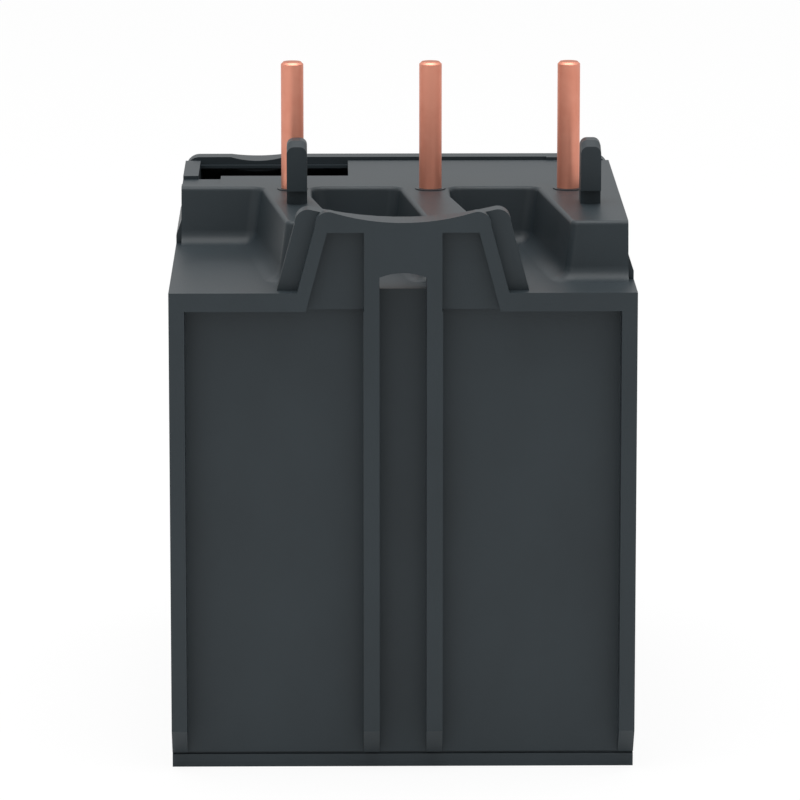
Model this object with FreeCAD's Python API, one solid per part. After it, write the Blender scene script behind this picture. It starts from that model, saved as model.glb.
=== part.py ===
"""Plug-under thermal overload relay, 45 mm module. Millimetres, +Z up.

The operating panel faces -Y, the side that plugs under the contactor faces +Y.
The origin is the centre of the base. Every piece is exported as its own solid.
"""
import FreeCAD, Part
import math
import os
from FreeCAD import Vector as V

os.makedirs("parts", exist_ok=True)

# ---- overall sizes ----
BODY_WIDTH = 45.0
BODY_DEPTH = 70.0
SHELF_HEIGHT = 47.4          # rear shelf under the contactor
DECK_RISE = 5.7              # from the shelf to the deck that the pins stand in
PIN_RISE = 12.9              # from the deck to the pins' tips
WALL = 1.8
FLAT_GAP = 0.3               # gap between bodies that move past each other
RUNNING_GAP = 0.05           # radial clearance of a turning fit
SEAT_GAP = 0.02              # radial clearance of a fixed pin in its hole
OVERLAP = 0.1                # how far joined blocks run into each other
FAR = 60.0                   # longer than any cut needs
HALF = BODY_WIDTH / 2
REAR_Y = BODY_DEPTH / 2
FRONT_Y = -BODY_DEPTH / 2
DECK_HEIGHT = SHELF_HEIGHT + DECK_RISE
PIN_TOP = DECK_HEIGHT + PIN_RISE
INNER_HALF = HALF - WALL

# ---- rear relief ----
PANEL_RECESS = 2.6
TAB_RECESS = 1.5
RIM_WIDTH = 1.5
TOP_BAR = 1.8
RIB_OFFSET = 3.05
RIB_WIDTH = 1.55
FOOT_STRIP = 1.26
FOOT_CHAMFER = 2.9
FOOT_GROOVE = (0.3, 0.25)    # depth and height of the line above the foot strip
BACK_WALL = 2.0
PANEL_Y = REAR_Y - PANEL_RECESS
TAB_Y = REAR_Y - TAB_RECESS
SHELF_CEILING = SHELF_HEIGHT - BACK_WALL
DECK_CEILING = DECK_HEIGHT - BACK_WALL

# ---- clip tab ----
TAB_FOOT = 10.17             # half widths of the front frame
TAB_SHOULDER = 8.42
TAB_TIP = 6.93
TAB_STEP = 1.95              # how much wider the slab behind stands
TAB_SLAB = 2.3               # its thickness
TAB_SHOULDER_RISE = 6.5
TAB_TIP_RISE = 7.85
TAB_DIP_RISE = 6.8
TAB_BOW = 0.35               # how far the shoulder's arc stands out
TAB_FRAME = 1.3
TAB_FRAME_TOP = 0.65
TAB_POCKET_INNER = 3.75
WINDOW_RISE = 1.95
WINDOW_ARCH = 0.45

# ---- poles, pins and platforms ----
POLES = 3
POLE_PITCH = 0.3078 * BODY_WIDTH
POLE_1_X = 0.2389 * BODY_WIDTH
PIN_Y = 0.0957 * BODY_DEPTH
PIN_RADIUS = 1.13
PIN_STEM = 1.5               # radius below the deck
PIN_SPIGOT = 0.85            # radius in the bracket
PIN_STEM_PROUD = 0.1
PIN_COLLAR = 1.9             # radius of the collar under the deck
PIN_CHAMFER = 0.25
UPPER_INSET = 0.55
UPPER_HALF = HALF - UPPER_INSET
POCKET_BACK_Y = PIN_Y - 1.4
PLATFORM_END_Y = REAR_Y - 7.8
PLATFORM_LEFT = 3.1          # edge to the pole's line at the pocket's back
PLATFORM_LEFT_END = 0.5      # the same at the platform's rear end
PLATFORM_RIGHT = 1.9
PLATFORM_STEP = 5.5          # straight length before the slanted edge
PLATFORM_RIGHT_END = 4.4
WALL_DRAFT = 0.8
POCKET_FILLET = 1.6
CORNER_INNER = 1.3
CORNER_OUTER = 0.9
CORNER_STEP = 0.5
EDGE_ROUND = 0.45
POLE_X = [POLE_1_X - POLE_PITCH * i for i in range(POLES)]

# ---- snap hooks ----
HOOK_X = (POLE_X[0] - 0.5, POLE_X[2] - 1.8)
HOOK_WIDTH = 2.0
HOOK_Y = PIN_Y + 9.6
HOOK_STEM = 2.2
HOOK_FOOT = 0.6
HOOK_NOSE = 1.0
HOOK_NOSE_RISE = 1.4
HOOK_RISE = 6.3
HOOK_SLOPE = (0.25, 0.5)     # depth and height of the lead-in at the tip
HOOK_ROUND = 0.7

# ---- deck recesses and parting planes ----
SPLIT_Y = -0.1786 * BODY_DEPTH        # front cover against housing
BLOCK_SPLIT_Y = -0.0143 * BODY_DEPTH  # terminal block against housing
BLOCK_TOP = SHELF_HEIGHT - 16.8
WELL_X = (POLE_X[0] - 5.62, HALF - 2.1)
WELL_BACK_Y = SPLIT_Y + 10.45
WELL_FLOOR = SHELF_HEIGHT + 0.2
NOTCH_X = HALF - 4.4
NOTCH_Y = (WELL_BACK_Y, WELL_BACK_Y + 5.35)
NOTCH_DEPTH = 0.35
BULKHEAD_Y = 0.0457 * BODY_DEPTH
BULKHEAD = 1.5
PARTITION = 1.4
SKIRT_LOW = 0.8
SKIRT_HIGH = 2.4

# ---- front cover ----
COVER_WALL = 1.6
LIP_GAP = 0.5
LIP_GAP_END_X = -HALF + 7.0
LIP_TOP = DECK_HEIGHT + 0.3
LIP_THICKNESS = 1.1
LIP_DEPTH = 2.4
DIP_X = HALF - 8.0
DIP_WIDTH = 5.6
DIP_DEPTH = 0.4
PANEL_TOP = SHELF_HEIGHT - 0.8
PANEL_SLOPE = 1.8
COVER_EDGE_ROUND = 1.4
COVER_CREASE_ROUND = 1.0
COVER_FLOOR_BACK_Y = FRONT_Y + 13.0
COVER_FLOOR = 1.4
SPRING_WALL_Y = FRONT_Y + 12.0
SPRING_WALL = 1.2

# ---- terminals ----
POWER_FACE_Y = FRONT_Y + 0.2286 * BODY_DEPTH
POWER_PITCH = 0.3111 * BODY_WIDTH
POWER_Z = 0.19 * SHELF_HEIGHT
AUX_FACE_Y = FRONT_Y + 4.0
AUX_PITCH = 0.2311 * BODY_WIDTH
AUX_COUNT = 4
AUX_Z = BLOCK_TOP - 7.0
AUX_UNDERSIDE = BLOCK_TOP - 14.0
POWER_X = [POWER_PITCH * (1 - i) for i in range(POLES)]
AUX_X = [AUX_PITCH * (i - (AUX_COUNT - 1) / 2) for i in range(AUX_COUNT)]
BLOCK_EDGE_ROUND = 0.8

POWER = {
    "bore": 3.9, "wall": 3.0, "head": 3.4, "head_height": 2.2, "shank": 2.0, "length": 11.3,
    "tongue": 3.6, "tongue_low": 4.0, "tongue_high": 4.5, "sheet": 1.2, "cage_low": 3.6,
    "cage_high": 3.6, "cage_wall": 1.0, "cage_back": 1.8, "wire_space": 7.0, "cell": 5.3,
    "mouth": 3.6,
}
AUX = {
    "bore": 2.9, "wall": 2.2, "head": 2.5, "head_height": 1.8, "shank": 1.5, "length": 8.4,
    "tongue": 2.6, "tongue_low": 3.0, "tongue_high": 3.9, "sheet": 1.0, "cage_low": 2.8,
    "cage_high": 2.8, "cage_wall": 0.7, "cage_back": 1.2, "wire_space": 4.6, "cell": 3.7,
    "mouth": 2.5,
}
TONGUE_GAP = 0.3
CELL_FLOOR = 1.4             # free space under the clamp
HEAD_ROUND = 0.35
RECESS_REACH = 0.72          # driver cross, as shares of the head
RECESS_HALF = 0.13
RECESS_DEPTH = 0.5

# ---- bimetals and trip bars ----
BRACKET_BOTTOM = SHELF_CEILING - 2.7
BRACKET_SHEET = 1.5
BRACKET_WIDTH = 4.0
BRACKET_END = 1.9
BIMETAL_Y = 0.2571 * BODY_DEPTH
BIMETAL_WIDTH = 4.0
BIMETAL_THICKNESS = 0.8
BIMETAL_LOW = 10.0
HEATER_SHEET = 0.5           # ribbon thickness and height
HEATER_RIBBON = 1.4
HEATER_SIDE = 1.3            # centre line of the ribbon from the strip's middle, across and along
HEATER_END = 2.9
HEATER_LOW = 20.0
HEATER_TURNS = 5
HEATER_PITCH = (BRACKET_BOTTOM - 4.7 - HEATER_LOW) / HEATER_TURNS
LUG_HALF = 2.0
RISER_Y = BIMETAL_Y - 9.0
BAR_Y = (BIMETAL_Y + 4.0, BIMETAL_Y + 6.0)
SLIDER_Z = (11.0, 13.0)
DIFFERENTIAL_Z = (15.5, 17.5)
LEVER_X = INNER_HALF - 2.4
BAR_LEFT_X = -INNER_HALF + 0.6
SLIDER_END_X = LEVER_X - 1.1
DIFFERENTIAL_END_X = LEVER_X - 1.7
FINGER = 1.2
LINK_X = LEVER_X - 2.8
LINK_BOSS = 0.8
LINK_HALF = 1.5
LINK_SHEET = 1.2
LINK_ROUND = 1.2
SLOT_PLAY = 0.15

# ---- trip lever and contacts ----
LEVER_Y = BULKHEAD_Y + 4.8
LEVER_PIN = 1.0
LEVER_HUB = 1.9
LEVER_BOSS = 2.4
LEVER_HUB_Z = (10.5, BLOCK_TOP - 4.6)
LEVER_ARM = 1.2
LEVER_REAR_Y = BAR_Y[1] - 0.1
LEVER_FRONT_Y = SPLIT_Y + 3.5
LEVER_FRONT_Z = (BLOCK_TOP - 8.6, BLOCK_TOP - 5.6)
STRIP_SHEET = 0.7
STRIP_HEIGHT = 4.0
STRIP_END = 5.5
ROCKER_X = LEVER_X - 4.3
ROCKER_Z = BLOCK_TOP + 7.4
ROCKER_HUB = 2.4
ROCKER_PIN = 1.0
ROCKER_BOSS = 2.2
ROCKER_PIN_FRONT_Y = SPLIT_Y - 4.0
ROCKER_Y = (SPLIT_Y, SPLIT_Y + 3.0)
ROCKER_LEG_X = (LEVER_X - 2.7, LEVER_X - 0.9)
ROCKER_LEG_LOW = BLOCK_TOP - 8.1
ROCKER_LEG_BACK_Y = SPLIT_Y + 5.5
ROCKER_ARM_X = -6.0
ROCKER_ARM_HALF = 1.5
NC_X = -4.0
NO_X = 3.0
CONTACT_Y = (SPLIT_Y - 2.5, SPLIT_Y + 5.5)
CONTACT_RADIUS = 0.9
CONTACT_HEIGHT = 0.6
BRIDGE_SHEET = 0.6
BRIDGE_HALF = 1.2
NC_GAP = 0.1
NO_GAP = 1.6
AUX_RISER_Y = SPLIT_Y - 6.0

# ---- panel fittings ----
CLEAR_WIDTH = 0.3556 * BODY_WIDTH
CLEAR_X = (UPPER_HALF - 1.35 - CLEAR_WIDTH, UPPER_HALF - 1.35)
CLEAR_LOW = BLOCK_TOP + 1.0
CLEAR_POCKET = 3.5
CLEAR_SHEET = 1.0
CLEAR_SKIRT = (0.6, 1.6)     # thickness and depth of the flap's side skirts
GRIP_RADIUS = 0.55
GRIP_HALF = 3.0
HINGE_Y = FRONT_Y + 1.4
HINGE_Z = PANEL_TOP - 0.2
HINGE_BARREL = 1.2
HINGE_PIN = 0.55
HINGE_PIN_REACH = (1.2, 0.8)
HINGE_NOTCH_Y = HINGE_Y + 1.7
HINGE_NOTCH_LOW = HINGE_Z - 1.8
DIAL_RADIUS = 4.8
DIAL_X = CLEAR_X[1] - 6.0
DIAL_Z = HINGE_NOTCH_LOW - DIAL_RADIUS - 0.3
DIAL_FACE = 1.4
DIAL_SLOT = (2.6, 0.55, 0.9)  # half length, half width and depth of the driver slot
DIAL_NOTCHES = 16
DIAL_NOTCH = 0.3
DIAL_SHAFT = 2.2
DIAL_BEARING = 1.4
DIAL_SHAFT_END_Y = FRONT_Y + 10.4
CAM_RADIUS = 3.6
CAM_OFFSET = 0.8
CAM_SHEET = 2.0
SELECTOR_X = DIAL_X - 5.7
SELECTOR_Z = CLEAR_LOW + 2.7
SELECTOR_RADIUS = 1.7
SELECTOR_SHAFT = 1.1
SELECTOR_SLOT = (0.35, 1.2, 0.8)
BUTTON_SIZE = 7.6
BUTTON_Z = PANEL_TOP - 5.4
BUTTON_CORNER = 1.0
BUTTON_RIM = 0.6             # how far the flange stands out under the panel
BUTTON_FLANGE = 1.0
BUTTON_STEM = 1.5
BUTTON_DISH = 14.0
BUTTON_DISH_DEPTH = 0.6
STOP_X = -UPPER_HALF + 6.35
RESET_X = STOP_X + 0.2444 * BODY_WIDTH
TEST_X = STOP_X
TEST_Z = BUTTON_Z - 6.8
TEST_RADIUS = 1.5
TEST_RIM = 2.1
TEST_FLANGE = 0.8
TEST_STEM = 0.8
STEM_END_Y = SPRING_WALL_Y + SPRING_WALL + 0.5
SPRING_WIRE = 0.45
SPRING_TURNS = 6
SPRING_SIDES = 10            # straight runs that make one turn
BUTTON_COIL = 2.3
TEST_COIL = 1.4
FLAG_X = RESET_X
FLAG_Z = BUTTON_Z - 7.4
FLAG_WINDOW = (4.4, 2.2)
FLAG_SHEET = 0.8
FLAG_REACH = (2.4, 1.0)      # how far the plate runs past the window on each side


# ---- helpers ----
def box(x0, x1, y0, y1, z0, z1):
    """A block between two corners."""
    return Part.makeBox(x1 - x0, y1 - y0, z1 - z0, V(x0, y0, z0))


def rod_y(x, z, radius, y0, y1):
    """A round bar along Y."""
    return Part.makeCylinder(radius, y1 - y0, V(x, y0, z), V(0, 1, 0))


def rod_x(y, z, radius, x0, x1):
    """A round bar along X."""
    return Part.makeCylinder(radius, x1 - x0, V(x0, y, z), V(1, 0, 0))


def rod_z(x, y, radius, z0, z1):
    """A round bar along Z."""
    return Part.makeCylinder(radius, z1 - z0, V(x, y, z0))


def prism(points, travel):
    """A closed outline of corner points, swept along a vector."""
    return Part.Face(Part.makePolygon(points + [points[0]])).extrude(travel)


def side_profile(points, x0, x1):
    """A (y, z) outline swept along X."""
    return prism([V(x0, y, z) for y, z in points], V(x1 - x0, 0, 0))


def fused(shapes):
    """One solid from pieces that meet."""
    return shapes[0].multiFuse(shapes[1:]).removeSplitter()


def edges_where(shape, test):
    """The edges whose two ends and middle all pass a test of a point."""
    found = []
    for edge in shape.Edges:
        middle = edge.valueAt((edge.FirstParameter + edge.LastParameter) / 2)
        if all(test(p) for p in (edge.valueAt(edge.FirstParameter), middle, edge.valueAt(edge.LastParameter))):
            found.append(edge)
    return found


def near(a, b):
    """Two lengths are the same within a hundredth."""
    return abs(a - b) < 0.01


def save(shape, name):
    """Write one piece as its own file."""
    shape.exportStep("parts/" + name + ".step")


# ---- rear housing ----
def platform_outline():
    """Comb-shaped plan of the deck, and which of its edges are pocket walls."""
    points = [V(UPPER_HALF, SPLIT_Y, 0), V(UPPER_HALF, POCKET_BACK_Y, 0)]
    for i, x in enumerate(POLE_X):
        points.append(V(x + PLATFORM_LEFT, POCKET_BACK_Y, 0))
        points.append(V(x + PLATFORM_LEFT_END, PLATFORM_END_Y, 0))
        if i < POLES - 1:
            points.append(V(x - PLATFORM_RIGHT_END, PLATFORM_END_Y, 0))
            points.append(V(x - PLATFORM_RIGHT, POCKET_BACK_Y + PLATFORM_STEP, 0))
            points.append(V(x - PLATFORM_RIGHT, POCKET_BACK_Y, 0))
    points.append(V(-UPPER_HALF, PLATFORM_END_Y, 0))
    points.append(V(-UPPER_HALF, SPLIT_Y, 0))
    return points


def moved_outline(points, shifts):
    """An anticlockwise outline with each edge moved outwards by its own shift."""
    moved = []
    for i, corner in enumerate(points):
        before = corner - points[i - 1]
        after = points[(i + 1) % len(points)] - corner
        n1 = V(before.y, -before.x, 0).normalize()
        n2 = V(after.y, -after.x, 0).normalize()
        turn = n1.x * n2.y - n1.y * n2.x
        dx = (shifts[i - 1] * n2.y - shifts[i] * n1.y) / turn
        dy = (shifts[i] * n1.x - shifts[i - 1] * n2.x) / turn
        moved.append(corner + V(dx, dy, 0))
    return moved


def drafted_deck():
    """The deck and its three platforms, with sloping pocket walls."""
    outline = platform_outline()
    count = len(outline)
    shifts = [0 if i in (0, count - 2, count - 1) else WALL_DRAFT for i in range(count)]
    low = [p + V(0, 0, SHELF_HEIGHT) for p in moved_outline(outline, shifts)]
    high = [p + V(0, 0, DECK_HEIGHT) for p in outline]
    faces = []
    for i in range(count):
        j = (i + 1) % count
        faces.append(Part.Face(Part.makePolygon([low[i], low[j], high[j], high[i], low[i]])))
    faces.append(Part.Face(Part.makePolygon(low + [low[0]])))
    faces.append(Part.Face(Part.makePolygon(high + [high[0]])))
    deck = Part.makeSolid(Part.makeShell(faces))
    step_y = POCKET_BACK_Y + PLATFORM_STEP
    deck = deck.makeFillet(CORNER_INNER, upright_edges(deck, POCKET_BACK_Y, step_y - 2))
    deck = deck.makeFillet(CORNER_OUTER, upright_edges(deck, PLATFORM_END_Y - 1, PLATFORM_END_Y + 1))
    return deck.makeFillet(CORNER_STEP, upright_edges(deck, step_y - 1, step_y + 1))


def upright_edges(deck, y_low, y_high):
    """The deck's straight corner edges whose middle lies between two depths."""
    found = []
    for edge in deck.Edges:
        tall = edge.BoundBox.ZLength > 1 and edge.Curve.TypeId == "Part::GeomLine"
        middle = edge.CenterOfMass
        if tall and y_low < middle.y < y_high and abs(middle.x) < UPPER_HALF - FLAT_GAP:
            found.append(edge)
    return found


def upper_block():
    """The deck over the shelf, with rounded pocket feet and rims."""
    air = box(-FAR, FAR, SPLIT_Y - 1, REAR_Y + 5, SHELF_HEIGHT, DECK_HEIGHT + 1).cut(drafted_deck())
    feet = edges_where(air, lambda p: near(p.z, SHELF_HEIGHT) and POCKET_BACK_Y < p.y < REAR_Y)
    air = air.makeFillet(POCKET_FILLET, [e for e in feet if abs(e.CenterOfMass.x) < HALF])
    block = box(-HALF, HALF, SPLIT_Y, REAR_Y, SHELF_HEIGHT - BACK_WALL, DECK_HEIGHT).cut(air)
    rims = edges_where(block, lambda p: near(p.z, DECK_HEIGHT) and p.y > POCKET_BACK_Y - 0.1)
    return block.makeFillet(EDGE_ROUND, [e for e in rims if abs(e.CenterOfMass.x) < UPPER_HALF - 0.1])


def tab_outline(foot, shoulder, tip, dip):
    """Outline of one layer of the clip tab, with its hollow top edge."""
    z_shoulder = SHELF_HEIGHT + TAB_SHOULDER_RISE
    z_tip = SHELF_HEIGHT + TAB_TIP_RISE
    left = [V(-foot, 0, SHELF_HEIGHT), V(-shoulder, 0, z_shoulder), V(-tip, 0, z_tip)]
    right = [V(-p.x, 0, p.z) for p in left]
    corner_left = V(-(shoulder + tip) / 2 - TAB_BOW, 0, (z_shoulder + z_tip) / 2 + TAB_BOW)
    corner_right = V(-corner_left.x, 0, corner_left.z)
    return Part.Wire([
        Part.LineSegment(left[0], left[1]).toShape(),
        Part.Arc(left[1], corner_left, left[2]).toShape(),
        Part.Arc(left[2], V(0, 0, SHELF_HEIGHT + dip), right[2]).toShape(),
        Part.Arc(right[2], corner_right, right[1]).toShape(),
        Part.LineSegment(right[1], right[0]).toShape(),
        Part.LineSegment(right[0], left[0]).toShape(),
    ])


def clip_tab():
    """Tab that stands on the rear edge: a frame over a wider slab."""
    frame = Part.Face(tab_outline(TAB_FOOT, TAB_SHOULDER, TAB_TIP, TAB_DIP_RISE))
    frame = frame.extrude(V(0, TAB_RECESS, 0))
    frame.translate(V(0, TAB_Y, 0))
    slab = Part.Face(tab_outline(TAB_FOOT + TAB_STEP, TAB_SHOULDER + TAB_STEP, TAB_TIP + TAB_STEP, TAB_DIP_RISE))
    slab = slab.extrude(V(0, TAB_SLAB, 0))
    slab.translate(V(0, TAB_Y - TAB_SLAB, 0))
    return [frame, slab]


def tab_pocket(side):
    """Sunk field beside the ribs; it runs down through the top bar."""
    slope = (TAB_FOOT - TAB_SHOULDER) / TAB_SHOULDER_RISE
    top = TAB_SHOULDER_RISE - TAB_FRAME_TOP
    low = -TOP_BAR
    points = [
        V(side * TAB_POCKET_INNER, TAB_Y, SHELF_HEIGHT + low),
        V(side * (TAB_FOOT - TAB_FRAME - slope * low), TAB_Y, SHELF_HEIGHT + low),
        V(side * (TAB_FOOT - TAB_FRAME - slope * top), TAB_Y, SHELF_HEIGHT + top),
        V(side * TAB_POCKET_INNER, TAB_Y, SHELF_HEIGHT + top),
    ]
    return prism(points, V(0, TAB_RECESS + 1, 0))


def tab_window():
    """Arched opening at the tab's foot, between the ribs."""
    half = RIB_OFFSET - RIB_WIDTH / 2
    spring = SHELF_HEIGHT + WINDOW_RISE - WINDOW_ARCH
    a = V(-half, 0, SHELF_HEIGHT)
    b = V(-half, 0, spring)
    crown = V(0, 0, SHELF_HEIGHT + WINDOW_RISE)
    c = V(half, 0, spring)
    d = V(half, 0, SHELF_HEIGHT)
    wire = Part.Wire([
        Part.LineSegment(a, b).toShape(),
        Part.Arc(b, crown, c).toShape(),
        Part.LineSegment(c, d).toShape(),
        Part.LineSegment(d, a).toShape(),
    ])
    opening = Part.Face(wire).extrude(V(0, FAR, 0))
    opening.translate(V(0, PLATFORM_END_Y + WALL_DRAFT + 1, 0))
    return opening


def rear_relief():
    """What is sunk from the rear face: two panels, the channel and the foot."""
    inner = HALF - RIM_WIDTH
    rib_in = RIB_OFFSET - RIB_WIDTH / 2
    rib_out = RIB_OFFSET + RIB_WIDTH / 2
    top = SHELF_HEIGHT - TOP_BAR
    low = FOOT_STRIP
    cuts = []
    for side in (-1, 1):
        xs = sorted((side * rib_out, side * inner))
        cuts.append(box(xs[0], xs[1], PANEL_Y, REAR_Y + 1, low, top))
    cuts.append(box(-rib_in, rib_in, PANEL_Y, REAR_Y + 1, low, SHELF_HEIGHT + 0.01))
    foot = [
        (PANEL_Y, -1), (PANEL_Y, FOOT_STRIP), (REAR_Y, FOOT_STRIP + FOOT_CHAMFER),
        (REAR_Y + 1, FOOT_STRIP + FOOT_CHAMFER + 1), (REAR_Y + 1, -1),
    ]
    cuts.append(side_profile(foot, -FAR, FAR))
    cuts.append(box(-FAR, FAR, PANEL_Y - FOOT_GROOVE[0], PANEL_Y + 1, FOOT_STRIP, FOOT_STRIP + FOOT_GROOVE[1]))
    return cuts


def side_skirts():
    """Narrow slope along each side, from the body up to the deck's sides."""
    shapes = []
    for side, end_y in ((1, POCKET_BACK_Y), (-1, PLATFORM_END_Y)):
        section = [
            V(side * (UPPER_HALF - 1), SPLIT_Y, SHELF_HEIGHT - 1), V(side * HALF, SPLIT_Y, SHELF_HEIGHT - 1),
            V(side * HALF, SPLIT_Y, SHELF_HEIGHT + SKIRT_LOW), V(side * UPPER_HALF, SPLIT_Y, SHELF_HEIGHT + SKIRT_HIGH),
            V(side * (UPPER_HALF - 1), SPLIT_Y, SHELF_HEIGHT + SKIRT_HIGH),
        ]
        shapes.append(prism(section, V(0, end_y - SPLIT_Y, 0)))
    return shapes


def snap_hooks():
    """Two hooks on the outer platforms that hold the contactor."""
    shapes = []
    top = DECK_HEIGHT + HOOK_RISE
    for x in HOOK_X:
        front = HOOK_Y - HOOK_STEM
        nose = HOOK_Y + HOOK_NOSE
        profile = [
            (front - HOOK_FOOT, DECK_HEIGHT), (HOOK_Y, DECK_HEIGHT), (HOOK_Y, DECK_HEIGHT + HOOK_NOSE_RISE),
            (nose, DECK_HEIGHT + HOOK_NOSE_RISE), (nose, top - HOOK_SLOPE[1]), (HOOK_Y - HOOK_SLOPE[0], top), (front, top),
        ]
        hook = side_profile(profile, x - HOOK_WIDTH / 2, x + HOOK_WIDTH / 2)
        corners = edges_where(hook, lambda p: p.z > top - HOOK_SLOPE[1] - OVERLAP and not near(p.x, x))
        lengthwise = [e for e in corners if near(e.valueAt(0).x, e.valueAt(e.LastParameter).x) and e.BoundBox.YLength > 0.5]
        shapes.append(hook.makeFillet(HOOK_ROUND, lengthwise))
    return shapes


def housing_inside():
    """Pole chambers at the rear and one chamber for the mechanism in front."""
    back = PANEL_Y - BACK_WALL
    rear = box(-INNER_HALF, INNER_HALF, BULKHEAD_Y + BULKHEAD, back, WALL, SHELF_CEILING)
    lower = box(-INNER_HALF, INNER_HALF, BLOCK_SPLIT_Y - 1, BULKHEAD_Y, WALL, SHELF_CEILING)
    upper = box(-INNER_HALF, INNER_HALF, SPLIT_Y - 1, BULKHEAD_Y, BLOCK_TOP, DECK_CEILING)
    step = box(-HALF - 1, HALF + 1, SPLIT_Y - 1, BLOCK_SPLIT_Y, -1, BLOCK_TOP)
    return [rear, lower, upper, step]


def partitions():
    """Walls between the poles, with windows that guide the trip bars."""
    shapes = []
    back = PANEL_Y - BACK_WALL
    for x in (POLE_X[0] - POLE_PITCH / 2, POLE_X[1] - POLE_PITCH / 2):
        wall = box(x - PARTITION / 2, x + PARTITION / 2, BULKHEAD_Y + BULKHEAD, back, WALL, SHELF_CEILING)
        for low, high in (SLIDER_Z, DIFFERENTIAL_Z):
            wall = wall.cut(box(x - 1, x + 1, BAR_Y[0] - FLAT_GAP, BAR_Y[1] + FLAT_GAP, low - FLAT_GAP, high + FLAT_GAP))
        shapes.append(wall)
    return shapes


def deck_cuts():
    """Well under the cover's lip, side notch and the parting gap."""
    return [
        box(WELL_X[0], WELL_X[1], SPLIT_Y - 1, WELL_BACK_Y, WELL_FLOOR, DECK_HEIGHT + 1),
        box(NOTCH_X, HALF + 1, NOTCH_Y[0], NOTCH_Y[1], DECK_HEIGHT - NOTCH_DEPTH, DECK_HEIGHT + 1),
    ]


def rear_housing():
    """Moulded base with relief, platforms, hooks and inner walls."""
    body = box(-HALF, HALF, SPLIT_Y, REAR_Y, 0, SHELF_HEIGHT)
    shell = body.multiFuse([upper_block()] + side_skirts())
    shell = shell.cut(Part.makeCompound(housing_inside()))
    well_block = box(WELL_X[0] - WALL, INNER_HALF + 0.5, SPLIT_Y, WELL_BACK_Y + WALL, WELL_FLOOR - WALL, DECK_CEILING + 0.5)
    lever_boss = rod_z(LEVER_X, LEVER_Y, LEVER_BOSS, WALL - OVERLAP, LEVER_HUB_Z[0] - FLAT_GAP)
    rocker_boss = rod_y(ROCKER_X, ROCKER_Z, ROCKER_BOSS, ROCKER_LEG_BACK_Y + FLAT_GAP, BULKHEAD_Y + OVERLAP)
    shell = shell.multiFuse([well_block, lever_boss, rocker_boss] + partitions() + clip_tab() + snap_hooks())
    cuts = rear_relief() + deck_cuts() + [tab_pocket(-1), tab_pocket(1), tab_window()]
    for x in POLE_X:
        cuts.append(rod_z(x, PIN_Y, PIN_STEM + RUNNING_GAP, BRACKET_BOTTOM, DECK_HEIGHT + 1))
        cuts.append(box(x - BRACKET_WIDTH / 2 - FLAT_GAP, x + BRACKET_WIDTH / 2 + FLAT_GAP, PIN_Y - 3,
                        BULKHEAD_Y + BULKHEAD + 4, BRACKET_BOTTOM - FLAT_GAP, SHELF_CEILING))
        run_z = plate_run_z(POWER, POWER_Z)
        cuts.append(box(x - 2.4, x + 2.4, BULKHEAD_Y - 1, BULKHEAD_Y + BULKHEAD + 1, run_z - FLAT_GAP,
                        run_z + POWER["sheet"] + FLAT_GAP))
    cuts.append(box(LEVER_X - 3.2, INNER_HALF, BULKHEAD_Y - 1, BULKHEAD_Y + BULKHEAD + 1, LEVER_FRONT_Z[0] - 1,
                    LEVER_FRONT_Z[1] + STRIP_HEIGHT + 1))
    cuts.append(rod_z(LEVER_X, LEVER_Y, LEVER_PIN + SEAT_GAP, WALL, LEVER_HUB_Z[1]))
    cuts.append(rod_y(ROCKER_X, ROCKER_Z, ROCKER_PIN + SEAT_GAP, ROCKER_PIN_FRONT_Y, BULKHEAD_Y - 0.5))
    return shell.cut(Part.makeCompound(cuts)).removeSplitter()


# ---- front cover ----
def cover_profile(inset, back):
    """Side outline of the cover: front panel, sloping top and lip."""
    top_shift = inset
    return [
        (back, BLOCK_TOP), (FRONT_Y + inset, BLOCK_TOP), (FRONT_Y + inset, PANEL_TOP - top_shift * 0.4),
        (FRONT_Y + PANEL_SLOPE + inset * 0.6, PANEL_TOP + PANEL_SLOPE - top_shift),
        (SPLIT_Y - LIP_GAP - LIP_DEPTH, LIP_TOP - top_shift), (back, LIP_TOP - top_shift),
    ]


def lip_dip(offset):
    """Shallow finger dip in the lip, as a round bar whose top is hollowed."""
    radius = (DIP_WIDTH ** 2 / 4 + DIP_DEPTH ** 2) / (2 * DIP_DEPTH)
    return rod_y(DIP_X, LIP_TOP + radius - DIP_DEPTH, radius + offset, SPLIT_Y - LIP_GAP - LIP_DEPTH - 2, SPLIT_Y)


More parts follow.
